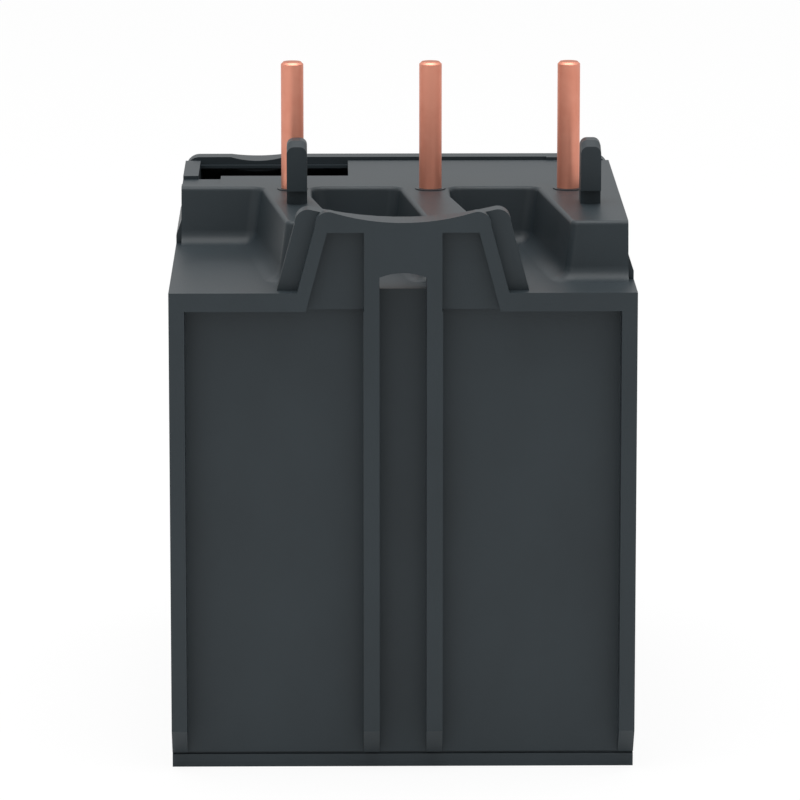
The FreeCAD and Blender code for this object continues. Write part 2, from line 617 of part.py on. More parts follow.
def front_cover():
    """Front moulding with the operating panel."""
    shell = side_profile(cover_profile(0, SPLIT_Y), -UPPER_HALF, UPPER_HALF)
    across = edges_where(shell, lambda p: p.z > PANEL_TOP - 0.1 and p.y < SPLIT_Y - 0.1)
    shell = shell.makeFillet(COVER_CREASE_ROUND, [e for e in across if e.BoundBox.XLength > 1])
    along = edges_where(shell, lambda p: near(abs(p.x), UPPER_HALF) and p.y < SPLIT_Y + 0.1)
    along = [e for e in along if e.CenterOfMass.z > BLOCK_TOP + 0.5 and e.CenterOfMass.y < SPLIT_Y - 0.1]
    shell = shell.makeFillet(COVER_EDGE_ROUND, along)
    shell = shell.cut(box(LIP_GAP_END_X, FAR, SPLIT_Y - LIP_GAP, SPLIT_Y + 1, DECK_HEIGHT - LIP_GAP, LIP_TOP + 1))
    inner_half = UPPER_HALF - COVER_WALL
    inside = side_profile(cover_profile(COVER_WALL, SPLIT_Y + 1), -inner_half, inner_half)
    inside = inside.cut(box(-FAR, FAR, FRONT_Y, COVER_FLOOR_BACK_Y, BLOCK_TOP - 1, BLOCK_TOP + COVER_FLOOR))
    inside = inside.fuse(box(WELL_X[0], WELL_X[1], SPLIT_Y - LIP_GAP - 2, SPLIT_Y + 1, LIP_TOP - LIP_THICKNESS - 3,
                             LIP_TOP - LIP_THICKNESS))
    shell = shell.cut(inside)
    shell = shell.fuse(lip_dip(LIP_THICKNESS).common(box(DIP_X - DIP_WIDTH / 2, DIP_X + DIP_WIDTH / 2,
                       SPLIT_Y - LIP_GAP - LIP_DEPTH, SPLIT_Y - LIP_GAP, WELL_FLOOR, LIP_TOP - LIP_THICKNESS + 0.1)))
    shell = shell.cut(lip_dip(0))
    pocket_floor = FRONT_Y + CLEAR_POCKET
    tray = box(CLEAR_X[0] - COVER_WALL, CLEAR_X[1] + 1.0, FRONT_Y + 1, pocket_floor + COVER_WALL, BLOCK_TOP + 0.5, PANEL_TOP + 1.0)
    spring_wall = box(-inner_half - 0.2, CLEAR_X[0] - 3, SPRING_WALL_Y, SPRING_WALL_Y + SPRING_WALL,
                      BLOCK_TOP + COVER_FLOOR - 0.2, BUTTON_Z + 4.6)
    bearing = rod_y(DIAL_X, DIAL_Z, DIAL_SHAFT + DIAL_BEARING, pocket_floor, DIAL_SHAFT_END_Y - CAM_SHEET - FLAT_GAP)
    shell = shell.multiFuse([tray, spring_wall, bearing])
    cuts = [
        box(CLEAR_X[0], CLEAR_X[1], FRONT_Y - 1, pocket_floor, CLEAR_LOW, PANEL_TOP - 0.4),
        box(CLEAR_X[0], CLEAR_X[1], FRONT_Y - 1, HINGE_NOTCH_Y, HINGE_NOTCH_LOW, PANEL_TOP + 4),
        rod_x(HINGE_Y, HINGE_Z, HINGE_PIN + SEAT_GAP, CLEAR_X[0] - HINGE_PIN_REACH[0], CLEAR_X[1] + HINGE_PIN_REACH[1]),
        rod_y(DIAL_X, DIAL_Z, DIAL_SHAFT + RUNNING_GAP, FRONT_Y, SPLIT_Y - 4),
        rod_y(SELECTOR_X, SELECTOR_Z, SELECTOR_SHAFT + RUNNING_GAP, FRONT_Y, SPRING_WALL_Y - 4),
        rod_y(TEST_X, TEST_Z, TEST_RADIUS + RUNNING_GAP * 2, FRONT_Y - 1, FRONT_Y + COVER_WALL + 1),
        box(FLAG_X - FLAG_WINDOW[0] / 2, FLAG_X + FLAG_WINDOW[0] / 2, FRONT_Y - 1, FRONT_Y + COVER_WALL + 1,
            FLAG_Z - FLAG_WINDOW[1] / 2, FLAG_Z + FLAG_WINDOW[1] / 2),
    ]
    for x in (STOP_X, RESET_X):
        half = BUTTON_SIZE / 2 + 0.2
        opening = box(x - half, x + half, FRONT_Y - 1, FRONT_Y + COVER_WALL + 1, BUTTON_Z - half, BUTTON_Z + half)
        cuts.append(opening.makeFillet(1.2, [e for e in opening.Edges if e.BoundBox.YLength > 2]))
        cuts.append(rod_y(x, BUTTON_Z, BUTTON_STEM + RUNNING_GAP * 2, SPRING_WALL_Y - 1, SPRING_WALL_Y + 3))
    cuts.append(rod_y(TEST_X, TEST_Z, TEST_STEM + RUNNING_GAP * 2, SPRING_WALL_Y - 1, SPRING_WALL_Y + 3))
    return shell.cut(Part.makeCompound(cuts)).removeSplitter()


# ---- terminals ----
def tongue_y(size, face_y):
    """Front plane of the contact tongue behind the screw's head."""
    return face_y + size["wall"] + TONGUE_GAP + size["head_height"] + TONGUE_GAP


def plate_run_z(size, z):
    """Underside of the plate's level run, at the top of its tongue."""
    return z + size["tongue_high"]


def terminal_cell(size, face_y, x, z, back_y, mouth_low):
    """What a terminal cuts from the block: cell, screw shaft and wire mouth."""
    run_top = plate_run_z(size, z) + size["sheet"] + FLAT_GAP
    cell = box(x - size["cell"], x + size["cell"], face_y + size["wall"], back_y, z - size["cage_low"] - CELL_FLOOR, run_top)
    shaft = rod_y(x, z, size["bore"], face_y - 1, face_y + size["wall"] + 1)
    wire_y = tongue_y(size, face_y) + size["sheet"]
    mouth = box(x - size["mouth"], x + size["mouth"], wire_y + 0.1, wire_y + size["wire_space"] - 0.2,
                mouth_low - 1, z - size["cage_low"])
    return [cell, shaft, mouth]


def terminal_clamp(size, face_y, x, z):
    """U-shaped clamp drawn towards the tongue by its screw."""
    wire_y = tongue_y(size, face_y) + size["sheet"]
    back = wire_y + size["wire_space"]
    outer = size["tongue"] + FLAT_GAP + size["cage_wall"]
    inner = size["tongue"] + FLAT_GAP
    clamp = box(x - outer, x + outer, wire_y + 0.6, back + size["cage_back"], z - size["cage_low"], z + size["cage_high"])
    clamp = clamp.cut(box(x - inner, x + inner, wire_y, back, z - FAR, z + FAR))
    corners = [e for e in clamp.Edges if e.BoundBox.ZLength > 3 and near(abs(e.CenterOfMass.x - x), outer)]
    clamp = clamp.makeFillet(0.4, corners)
    return clamp.cut(rod_y(x, z, size["shank"] + RUNNING_GAP, wire_y, back + size["cage_back"] + 1))


def terminal_screw(size, face_y, x, z):
    """Cheese-head screw with a cross-shaped driver recess."""
    head_y = face_y + size["wall"] + TONGUE_GAP
    head = rod_y(x, z, size["head"], head_y, head_y + size["head_height"])
    head = head.makeFillet(HEAD_ROUND, edges_where(head, lambda p: near(p.y, head_y)))
    shank = rod_y(x, z, size["shank"], head_y + size["head_height"] - OVERLAP,
                  head_y + size["head_height"] + size["length"])
    reach = size["head"] * RECESS_REACH
    slot = size["head"] * RECESS_HALF
    recess = [
        box(x - reach, x + reach, head_y - 1, head_y + size["head_height"] * RECESS_DEPTH, z - slot, z + slot),
        box(x - slot, x + slot, head_y - 1, head_y + size["head_height"] * RECESS_DEPTH, z - reach, z + reach),
    ]
    return head.fuse(shank).cut(Part.makeCompound(recess)).removeSplitter()


def tongue(size, face_y, x, z):
    """Upright contact tongue with the screw's hole."""
    y = tongue_y(size, face_y)
    blade = box(x - size["tongue"], x + size["tongue"], y, y + size["sheet"], z - size["tongue_low"],
                plate_run_z(size, z) + size["sheet"])
    return blade.cut(rod_y(x, z, size["shank"] + 0.2, y - 1, y + size["sheet"] + 1))


def power_plate(i):
    """Load conductor: tongue, level run, riser and heater lug."""
    x = POWER_X[i]
    pole = POLE_X[i]
    y = tongue_y(POWER, POWER_FACE_Y)
    sheet = POWER["sheet"]
    run_z = plate_run_z(POWER, POWER_Z)
    half = BRACKET_WIDTH / 2 + 0.1
    lug_z = HEATER_LOW + HEATER_TURNS * HEATER_PITCH + HEATER_RIBBON / 2
    shapes = [
        tongue(POWER, POWER_FACE_Y, x, POWER_Z),
        box(x - POWER["tongue"], x + POWER["tongue"], y, BLOCK_SPLIT_Y + 2, run_z, run_z + sheet),
        box(pole - half, pole + half, BLOCK_SPLIT_Y + FLAT_GAP, RISER_Y + sheet, run_z, run_z + sheet),
        box(pole - half, pole + half, RISER_Y, RISER_Y + sheet, run_z, lug_z + LUG_HALF),
    ]
    return fused(shapes)


def terminal_block():
    """Stepped lower moulding with seven terminals."""
    block = side_profile([
        (BLOCK_SPLIT_Y, 0), (POWER_FACE_Y, 0), (POWER_FACE_Y, AUX_UNDERSIDE), (AUX_FACE_Y, AUX_UNDERSIDE),
        (AUX_FACE_Y, BLOCK_TOP), (BLOCK_SPLIT_Y, BLOCK_TOP),
    ], -HALF, HALF)
    upright = edges_where(block, lambda p: near(abs(p.x), HALF) and (near(p.y, AUX_FACE_Y) or near(p.y, POWER_FACE_Y)))
    block = block.makeFillet(BLOCK_EDGE_ROUND, [e for e in upright if e.BoundBox.ZLength > 3])
    cuts = []
    for x in POWER_X:
        cuts += terminal_cell(POWER, POWER_FACE_Y, x, POWER_Z, BLOCK_SPLIT_Y + 1, 0)
    for x in AUX_X:
        cuts += terminal_cell(AUX, AUX_FACE_Y, x, AUX_Z, SPLIT_Y, AUX_UNDERSIDE)
    hollow_low = AUX_Z - AUX["cage_low"] - CELL_FLOOR
    cuts.append(box(-INNER_HALF, INNER_HALF, SPLIT_Y - 3, BLOCK_SPLIT_Y + 1, hollow_low, BLOCK_TOP + 1))
    cuts.append(box(-INNER_HALF, INNER_HALF, AUX_RISER_Y - 1.5, SPLIT_Y, plate_run_z(AUX, AUX_Z), BLOCK_TOP + 1))
    return block.cut(Part.makeCompound(cuts)).removeSplitter()


# ---- contacts ----
def aux_plate(i):
    """Auxiliary conductor: tongue, run, riser and fixed contact."""
    x = AUX_X[i]
    y = tongue_y(AUX, AUX_FACE_Y)
    sheet = AUX["sheet"]
    run_z = plate_run_z(AUX, AUX_Z)
    closed = i < 2
    contact_x = NC_X if closed else NO_X
    spot_y = CONTACT_Y[1] if i in (0, 3) else CONTACT_Y[0]
    if closed:
        moving = ROCKER_Z - ROCKER_ARM_HALF - BRIDGE_SHEET - CONTACT_HEIGHT
        button_z = moving - NC_GAP - CONTACT_HEIGHT
        level = button_z - sheet
    else:
        moving = ROCKER_Z + ROCKER_ARM_HALF + BRIDGE_SHEET + CONTACT_HEIGHT
        button_z = moving + NO_GAP
        level = button_z + CONTACT_HEIGHT
    half = AUX["tongue"]
    toward = sorted((x - half, x + half, contact_x - BRIDGE_HALF, contact_x + BRIDGE_HALF))
    shapes = [
        tongue(AUX, AUX_FACE_Y, x, AUX_Z),
        box(x - half, x + half, y, AUX_RISER_Y + sheet, run_z, run_z + sheet),
        box(x - half, x + half, AUX_RISER_Y, AUX_RISER_Y + sheet, run_z, level + sheet),
        box(x - half, x + half, AUX_RISER_Y, spot_y + BRIDGE_HALF, level, level + sheet),
        box(toward[0], toward[3], spot_y - BRIDGE_HALF, spot_y + BRIDGE_HALF, level, level + sheet),
        rod_z(contact_x, spot_y, CONTACT_RADIUS, button_z, button_z + CONTACT_HEIGHT),
    ]
    return fused(shapes)


def contact_bridge(x, above):
    """Moving contact bridge with two buttons."""
    side = 1 if above else -1
    face = ROCKER_Z + side * ROCKER_ARM_HALF
    sheet_far = face + side * BRIDGE_SHEET
    button_far = sheet_far + side * CONTACT_HEIGHT
    shapes = [box(x - BRIDGE_HALF, x + BRIDGE_HALF, CONTACT_Y[0] - BRIDGE_HALF, CONTACT_Y[1] + BRIDGE_HALF,
                  min(face, sheet_far), max(face, sheet_far))]
    for y in CONTACT_Y:
        shapes.append(rod_z(x, y, CONTACT_RADIUS, min(sheet_far, button_far), max(sheet_far, button_far)))
    return fused(shapes)


def contact_rocker():
    """Rocker that carries both moving bridges, with a leg for the lever."""
    half = ROCKER_ARM_HALF
    shapes = [
        rod_y(ROCKER_X, ROCKER_Z, ROCKER_HUB, ROCKER_Y[0], ROCKER_Y[1]),
        box(ROCKER_ARM_X, ROCKER_X, ROCKER_Y[0], ROCKER_Y[1], ROCKER_Z - half, ROCKER_Z + half),
        box(ROCKER_LEG_X[0], ROCKER_LEG_X[1], ROCKER_Y[0], ROCKER_LEG_BACK_Y, ROCKER_LEG_LOW, ROCKER_Z - 1),
    ]
    rocker = fused(shapes)
    bore = rod_y(ROCKER_X, ROCKER_Z, ROCKER_PIN + RUNNING_GAP, ROCKER_Y[0] - 1, ROCKER_LEG_BACK_Y + 1)
    return rocker.cut(bore)


def trip_lever():
    """Lever on an upright pin: the bars push its rear arm, its front arm trips."""
    half = LEVER_ARM / 2
    arm_x = SLIDER_END_X + FLAT_GAP + half
    shapes = [
        rod_z(LEVER_X, LEVER_Y, LEVER_HUB, LEVER_HUB_Z[0], LEVER_HUB_Z[1]),
        box(arm_x - half, arm_x + half, LEVER_Y, LEVER_REAR_Y, SLIDER_Z[0], SLIDER_Z[1] + 1),
        box(LEVER_X - half, LEVER_X + half, LEVER_FRONT_Y, LEVER_Y, LEVER_FRONT_Z[0], LEVER_FRONT_Z[1]),
    ]
    return fused(shapes).cut(rod_z(LEVER_X, LEVER_Y, LEVER_PIN + RUNNING_GAP, 0, FAR))


def compensating_strip():
    """Second bimetal that rides on the lever's front arm and meets the rocker's leg."""
    x0 = LEVER_X - OVERLAP
    return box(x0, x0 + STRIP_SHEET, LEVER_FRONT_Y, LEVER_Y - STRIP_END, LEVER_FRONT_Z[1], LEVER_FRONT_Z[1] + STRIP_HEIGHT)


# ---- bimetals and bars ----
def pin_bracket(x):
    """Plate that joins the pin to its bimetal."""
    half = BRACKET_WIDTH / 2
    plate = box(x - half, x + half, PIN_Y - BRACKET_END, BIMETAL_Y + BIMETAL_WIDTH / 2, BRACKET_BOTTOM,
                BRACKET_BOTTOM + BRACKET_SHEET)
    plate = plate.makeFillet(1.0, [e for e in plate.Edges if e.BoundBox.ZLength > 1])
    return plate.cut(rod_z(x, PIN_Y, PIN_SPIGOT + SEAT_GAP, 0, FAR))


def connection_pin(x):
    """Copper pin with a chamfered tip, a stouter stem in the deck, a collar under it and a spigot."""
    foot = BRACKET_BOTTOM + BRACKET_SHEET
    collar_top = SHELF_CEILING - FLAT_GAP
    stem_top = DECK_HEIGHT + PIN_STEM_PROUD
    profile = [
        V(0, 0, BRACKET_BOTTOM), V(PIN_SPIGOT, 0, BRACKET_BOTTOM), V(PIN_SPIGOT, 0, foot),
        V(PIN_COLLAR, 0, foot), V(PIN_COLLAR, 0, collar_top), V(PIN_STEM, 0, collar_top),
        V(PIN_STEM, 0, stem_top), V(PIN_RADIUS, 0, stem_top), V(PIN_RADIUS, 0, PIN_TOP - PIN_CHAMFER),
        V(PIN_RADIUS - PIN_CHAMFER, 0, PIN_TOP), V(0, 0, PIN_TOP),
    ]
    pin = Part.Face(Part.makePolygon(profile + [profile[0]])).revolve(V(0, 0, 0), V(0, 0, 1), 360)
    pin.translate(V(x, PIN_Y, 0))
    return pin


def bimetal_strip(x):
    """Flat strip hung under its bracket."""
    half = BIMETAL_THICKNESS / 2
    return box(x - half, x + half, BIMETAL_Y - BIMETAL_WIDTH / 2, BIMETAL_Y + BIMETAL_WIDTH / 2, BIMETAL_LOW,
               BRACKET_BOTTOM - FLAT_GAP)


def heater_winding(x):
    """Ribbon heater wound round the strip: two rising sides and two level ends a turn."""
    half = HEATER_SHEET / 2
    rise = HEATER_PITCH / 2
    front = BIMETAL_Y - HEATER_END - half
    back = BIMETAL_Y + HEATER_END + half
    shapes = []
    for i in range(2 * HEATER_TURNS):
        side = 1 if i % 2 == 0 else -1
        low = HEATER_LOW + rise * i
        start, stop = (front, back) if side > 0 else (back, front)
        run = [(start, low), (stop, low + rise), (stop, low + rise + HEATER_RIBBON), (start, low + HEATER_RIBBON)]
        middle = x + side * HEATER_SIDE
        shapes.append(side_profile(run, middle - half, middle + half))
        bend_y = sorted((start, start + side * HEATER_SHEET))
        shapes.append(box(x - HEATER_SIDE, x + HEATER_SIDE, bend_y[0], bend_y[1], low, low + HEATER_RIBBON))
    top = HEATER_LOW + HEATER_TURNS * HEATER_PITCH
    shapes.append(box(x - HEATER_SIDE - half, x + HEATER_SIDE, front, front + HEATER_SHEET, top, top + HEATER_RIBBON))
    lead_front = RISER_Y + POWER["sheet"] + FLAT_GAP
    shapes.append(box(x - half, x + half, lead_front, front + OVERLAP, top, top + HEATER_RIBBON))
    weld = box(x + BIMETAL_THICKNESS / 2, x + HEATER_SIDE, BIMETAL_Y - half, BIMETAL_Y + half, HEATER_LOW + rise / 2,
               HEATER_LOW + rise / 2 + HEATER_RIBBON)
    return fused(shapes + [weld])


def trip_bar(z_range, end_x, side):
    """Comb bar with one finger beside each bimetal."""
    shapes = [box(BAR_LEFT_X, end_x, BAR_Y[0], BAR_Y[1], z_range[0], z_range[1])]
    near_x = BIMETAL_THICKNESS / 2 + FLAT_GAP
    for x in POLE_X:
        xs = sorted((x + side * near_x, x + side * (near_x + FINGER)))
        shapes.append(box(xs[0], xs[1], BIMETAL_Y - BIMETAL_WIDTH / 2, BAR_Y[0], z_range[0], z_range[1]))
    middle = (z_range[0] + z_range[1]) / 2
    shapes.append(rod_y(LINK_X, middle, LINK_BOSS, BAR_Y[1], BAR_Y[1] + FLAT_GAP + LINK_SHEET + 0.3))
    return fused(shapes)


def differential_lever():
    """Link that compares the two bars."""
    y0 = BAR_Y[1] + FLAT_GAP
    low = (SLIDER_Z[0] + SLIDER_Z[1]) / 2
    high = (DIFFERENTIAL_Z[0] + DIFFERENTIAL_Z[1]) / 2
    link = box(LINK_X - LINK_HALF, LINK_X + LINK_HALF, y0, y0 + LINK_SHEET, low - LINK_HALF, high + LINK_HALF)
    link = link.makeFillet(LINK_ROUND, [e for e in link.Edges if near(e.BoundBox.YLength, LINK_SHEET)])
    slot = LINK_BOSS + SLOT_PLAY
    holes = [
        rod_y(LINK_X, low, LINK_BOSS + RUNNING_GAP, y0 - 1, y0 + 3),
        box(LINK_X - slot, LINK_X + slot, y0 - 1, y0 + 3, high - slot, high + slot),
    ]
    return link.cut(Part.makeCompound(holes))


# ---- panel fittings ----
def push_button(x, stem_end_y):
    """Square button with a dished face, a retaining flange and a stem."""
    half = BUTTON_SIZE / 2
    cap = box(x - half, x + half, FRONT_Y, FRONT_Y + COVER_WALL + FLAT_GAP + OVERLAP, BUTTON_Z - half, BUTTON_Z + half)
    cap = cap.makeFillet(BUTTON_CORNER, [e for e in cap.Edges if e.BoundBox.YLength > 1])
    cap = cap.makeFillet(EDGE_ROUND, edges_where(cap, lambda p: near(p.y, FRONT_Y)))
    dish = Part.makeSphere(BUTTON_DISH, V(x, FRONT_Y - BUTTON_DISH + BUTTON_DISH_DEPTH, BUTTON_Z))
    rim = half + BUTTON_RIM
    flange_y = FRONT_Y + COVER_WALL + FLAT_GAP
    flange = box(x - rim, x + rim, flange_y, flange_y + BUTTON_FLANGE, BUTTON_Z - rim, BUTTON_Z + rim)
    stem = rod_y(x, BUTTON_Z, BUTTON_STEM, flange_y, stem_end_y)
    return cap.cut(dish).multiFuse([flange, stem]).removeSplitter()


def test_button():
    """Small round plunger."""
    flange_y = FRONT_Y + COVER_WALL + FLAT_GAP
    shapes = [
        rod_y(TEST_X, TEST_Z, TEST_RADIUS, FRONT_Y + FLAT_GAP, flange_y + OVERLAP),
        rod_y(TEST_X, TEST_Z, TEST_RIM, flange_y, flange_y + TEST_FLANGE),
        rod_y(TEST_X, TEST_Z, TEST_STEM, flange_y, STEM_END_Y),
    ]
    return fused(shapes)


def button_spring(x, z, radius):
    """Coil spring between a flange and the spring wall, each turn a ring of short straight runs."""
    wire = SPRING_WIRE / 2
    start = FRONT_Y + COVER_WALL + FLAT_GAP + BUTTON_FLANGE + wire + OVERLAP
    length = SPRING_WALL_Y - start - wire - OVERLAP
    count = SPRING_TURNS * SPRING_SIDES
    points = []
    for i in range(count + 1):
        angle = 2 * math.pi * i / SPRING_SIDES
        points.append(V(x + radius * math.cos(angle), start + length * i / count, z + radius * math.sin(angle)))
    section = Part.Wire(Part.makeCircle(wire, points[0], points[1] - points[0]))
    return Part.makePolygon(points).makePipeShell([section], True, True, 1)


def adjustment_dial():
    """Current dial with a grip rim and a screwdriver slot."""
    face_y = FRONT_Y + DIAL_FACE
    floor_y = FRONT_Y + CLEAR_POCKET
    knob = rod_y(DIAL_X, DIAL_Z, DIAL_RADIUS, face_y, floor_y - FLAT_GAP)
    knob = knob.makeFillet(EDGE_ROUND, edges_where(knob, lambda p: near(p.y, face_y)))
    shaft = rod_y(DIAL_X, DIAL_Z, DIAL_SHAFT, floor_y - FLAT_GAP - OVERLAP, DIAL_SHAFT_END_Y)
    reach, half, depth = DIAL_SLOT
    cuts = [box(DIAL_X - reach, DIAL_X + reach, face_y - 1, face_y + depth, DIAL_Z - half, DIAL_Z + half)]
    for i in range(DIAL_NOTCHES):
        angle = 2 * math.pi * i / DIAL_NOTCHES
        cuts.append(rod_y(DIAL_X + DIAL_RADIUS * math.cos(angle), DIAL_Z + DIAL_RADIUS * math.sin(angle), DIAL_NOTCH,
                          face_y - 1, floor_y))
    return knob.fuse(shaft).cut(Part.makeCompound(cuts))


def dial_cam():
    """Eccentric cam on the dial's shaft."""
    cam = rod_y(DIAL_X + CAM_OFFSET, DIAL_Z, CAM_RADIUS, DIAL_SHAFT_END_Y - CAM_SHEET, DIAL_SHAFT_END_Y)
    return cam.cut(rod_y(DIAL_X, DIAL_Z, DIAL_SHAFT + SEAT_GAP, DIAL_SHAFT_END_Y - FAR, DIAL_SHAFT_END_Y + 1))


def mode_selector():
    """Small two-position selector with a slot."""
    face_y = FRONT_Y + DIAL_FACE
    floor_y = FRONT_Y + CLEAR_POCKET
    knob = rod_y(SELECTOR_X, SELECTOR_Z, SELECTOR_RADIUS, face_y, floor_y - FLAT_GAP)
    shaft = rod_y(SELECTOR_X, SELECTOR_Z, SELECTOR_SHAFT, floor_y - FLAT_GAP - OVERLAP, SPRING_WALL_Y - 5)
    half, reach, depth = SELECTOR_SLOT
    slot = box(SELECTOR_X - half, SELECTOR_X + half, face_y - 1, face_y + depth, SELECTOR_Z - reach, SELECTOR_Z + reach)
    return knob.fuse(shaft).cut(slot)


def clear_cover():
    """Clear flap over the dial, hinged along its top edge."""
    x0 = CLEAR_X[0] + FLAT_GAP
    x1 = CLEAR_X[1] - FLAT_GAP
    low = CLEAR_LOW + FLAT_GAP
    sheet, depth = CLEAR_SKIRT
    inner_y = FRONT_Y + CLEAR_SHEET
    plate = box(x0, x1, FRONT_Y, inner_y, low, HINGE_Z)
    ends = ((x0, x0 + sheet), (x1 - sheet, x1))
    skirts = [box(a, b, inner_y - OVERLAP, inner_y + depth, low, HINGE_NOTCH_LOW) for a, b in ends]
    barrel = rod_x(HINGE_Y, HINGE_Z, HINGE_BARREL, x0, x1)
    grip = rod_x(FRONT_Y + GRIP_RADIUS, low + GRIP_RADIUS, GRIP_RADIUS, DIAL_X - GRIP_HALF, DIAL_X + GRIP_HALF)
    flap = plate.multiFuse(skirts + [barrel, grip]).removeSplitter()
    return flap.cut(rod_x(HINGE_Y, HINGE_Z, HINGE_PIN + RUNNING_GAP, x0 - 1, x1 + 1))


def trip_flag():
    """Flag plate that shows in its window when the relay has tripped."""
    y0 = FRONT_Y + COVER_WALL + FLAT_GAP
    half_x = FLAG_WINDOW[0] / 2
    half_z = FLAG_WINDOW[1] / 2 + 0.5
    plate = box(FLAG_X - half_x - FLAG_REACH[0], FLAG_X + half_x + FLAG_REACH[1], y0, y0 + FLAG_SHEET, FLAG_Z - half_z,
                FLAG_Z + half_z)
    rib = box(FLAG_X - 0.5, FLAG_X + 0.5, y0 + FLAG_SHEET, y0 + 3 * FLAG_SHEET, FLAG_Z - 1, FLAG_Z + 1)
    return plate.fuse(rib)


# ---- build every piece ----
save(rear_housing(), "rear_housing")
save(front_cover(), "front_cover")
save(terminal_block(), "terminal_block")
for number, pole_x in enumerate(POLE_X, 1):
    save(connection_pin(pole_x), "pin_%d" % number)
    save(pin_bracket(pole_x), "pin_bracket_%d" % number)
    save(bimetal_strip(pole_x), "bimetal_strip_%d" % number)
    save(heater_winding(pole_x), "heater_winding_%d" % number)
    save(power_plate(number - 1), "power_plate_%d" % number)
for number, x in enumerate(POWER_X, 1):
    save(terminal_clamp(POWER, POWER_FACE_Y, x, POWER_Z), "power_clamp_%d" % number)
    save(terminal_screw(POWER, POWER_FACE_Y, x, POWER_Z), "power_screw_%d" % number)
for number, x in enumerate(AUX_X, 1):
    save(aux_plate(number - 1), "aux_plate_%d" % number)
    save(terminal_clamp(AUX, AUX_FACE_Y, x, AUX_Z), "aux_clamp_%d" % number)
    save(terminal_screw(AUX, AUX_FACE_Y, x, AUX_Z), "aux_screw_%d" % number)
save(trip_bar(SLIDER_Z, SLIDER_END_X, 1), "slider_bar")
save(trip_bar(DIFFERENTIAL_Z, DIFFERENTIAL_END_X, -1), "differential_bar")
save(differential_lever(), "differential_lever")
save(trip_lever(), "trip_lever")
save(rod_z(LEVER_X, LEVER_Y, LEVER_PIN, WALL, LEVER_HUB_Z[1] + 3), "lever_pivot_pin")
save(compensating_strip(), "compensating_strip")
save(contact_rocker(), "contact_rocker")
save(rod_y(ROCKER_X, ROCKER_Z, ROCKER_PIN, ROCKER_PIN_FRONT_Y, BULKHEAD_Y - 0.5), "rocker_pin")
save(contact_bridge(NC_X, False), "nc_bridge")
save(contact_bridge(NO_X, True), "no_bridge")
save(adjustment_dial(), "adjustment_dial")
save(dial_cam(), "dial_cam")
save(mode_selector(), "mode_selector")
save(push_button(STOP_X, STEM_END_Y), "stop_button")
save(push_button(RESET_X, STEM_END_Y), "reset_button")
save(test_button(), "test_button")
save(button_spring(STOP_X, BUTTON_Z, BUTTON_COIL), "stop_spring")
save(button_spring(RESET_X, BUTTON_Z, BUTTON_COIL), "reset_spring")
save(button_spring(TEST_X, TEST_Z, TEST_COIL), "test_spring")
save(trip_flag(), "trip_flag")
save(clear_cover(), "clear_cover")
save(rod_x(HINGE_Y, HINGE_Z, HINGE_PIN, CLEAR_X[0] - HINGE_PIN_REACH[0], CLEAR_X[1] + HINGE_PIN_REACH[1]), "cover_hinge_pin")
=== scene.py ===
"""Dresses a thermal overload relay: moulded housing, copper pins, terminals, trip gear and panel fittings.

Every moulded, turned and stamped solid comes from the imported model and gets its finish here.
The coil springs, the dial's scale and the selector's marks are made here.
"""
import math

import bpy
import numpy as np
from bpy.props import FloatProperty, FloatVectorProperty, IntProperty, PointerProperty
from mathutils import Matrix, Vector


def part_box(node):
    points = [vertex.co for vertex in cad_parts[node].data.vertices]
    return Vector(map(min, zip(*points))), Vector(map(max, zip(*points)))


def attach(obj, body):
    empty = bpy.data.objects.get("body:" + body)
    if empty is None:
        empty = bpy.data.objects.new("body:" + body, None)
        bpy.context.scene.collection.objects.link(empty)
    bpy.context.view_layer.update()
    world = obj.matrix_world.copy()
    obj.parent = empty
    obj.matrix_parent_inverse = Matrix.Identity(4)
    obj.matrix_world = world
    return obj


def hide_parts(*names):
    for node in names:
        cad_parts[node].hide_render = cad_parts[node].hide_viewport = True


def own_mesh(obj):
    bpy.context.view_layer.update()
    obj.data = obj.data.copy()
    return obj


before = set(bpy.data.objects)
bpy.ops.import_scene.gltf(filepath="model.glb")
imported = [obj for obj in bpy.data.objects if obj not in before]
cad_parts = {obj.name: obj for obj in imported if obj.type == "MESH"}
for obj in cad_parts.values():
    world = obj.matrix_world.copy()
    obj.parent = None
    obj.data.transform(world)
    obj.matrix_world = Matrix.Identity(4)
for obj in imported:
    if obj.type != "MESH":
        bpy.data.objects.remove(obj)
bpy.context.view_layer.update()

bl_info = {
    "name": "Thermal overload relay",
    "version": (1, 0, 0),
    "blender": (4, 5, 0),
    "location": "View3D > Sidebar > Relay",
    "description": "Finishes a plug-under thermal overload relay and sets its studio",
    "category": "Object",
}

UP = 2                              # index of the Z axis
COPPER_METALLIC = 0.9
EDGE_SHARPNESS = 20000              # how fast a finish changes at a given height, per metre
HEAT_LOW, HEAT_SPAN = 0.018, 0.022  # heights between which the bimetals are tinted, in metres
SPRING_STEPS, SPRING_SIDES = 28, 10     # rings per turn and sides of the wire
FLOOR_REACH = 6.0
LAMP_TARGET = (0, 0, 0.03)
CAMERA_PLACE = (0.0069955, 0.566854, 0.140369)
CAMERA_AIM = (-0.01234, -0.98155, -0.19081)


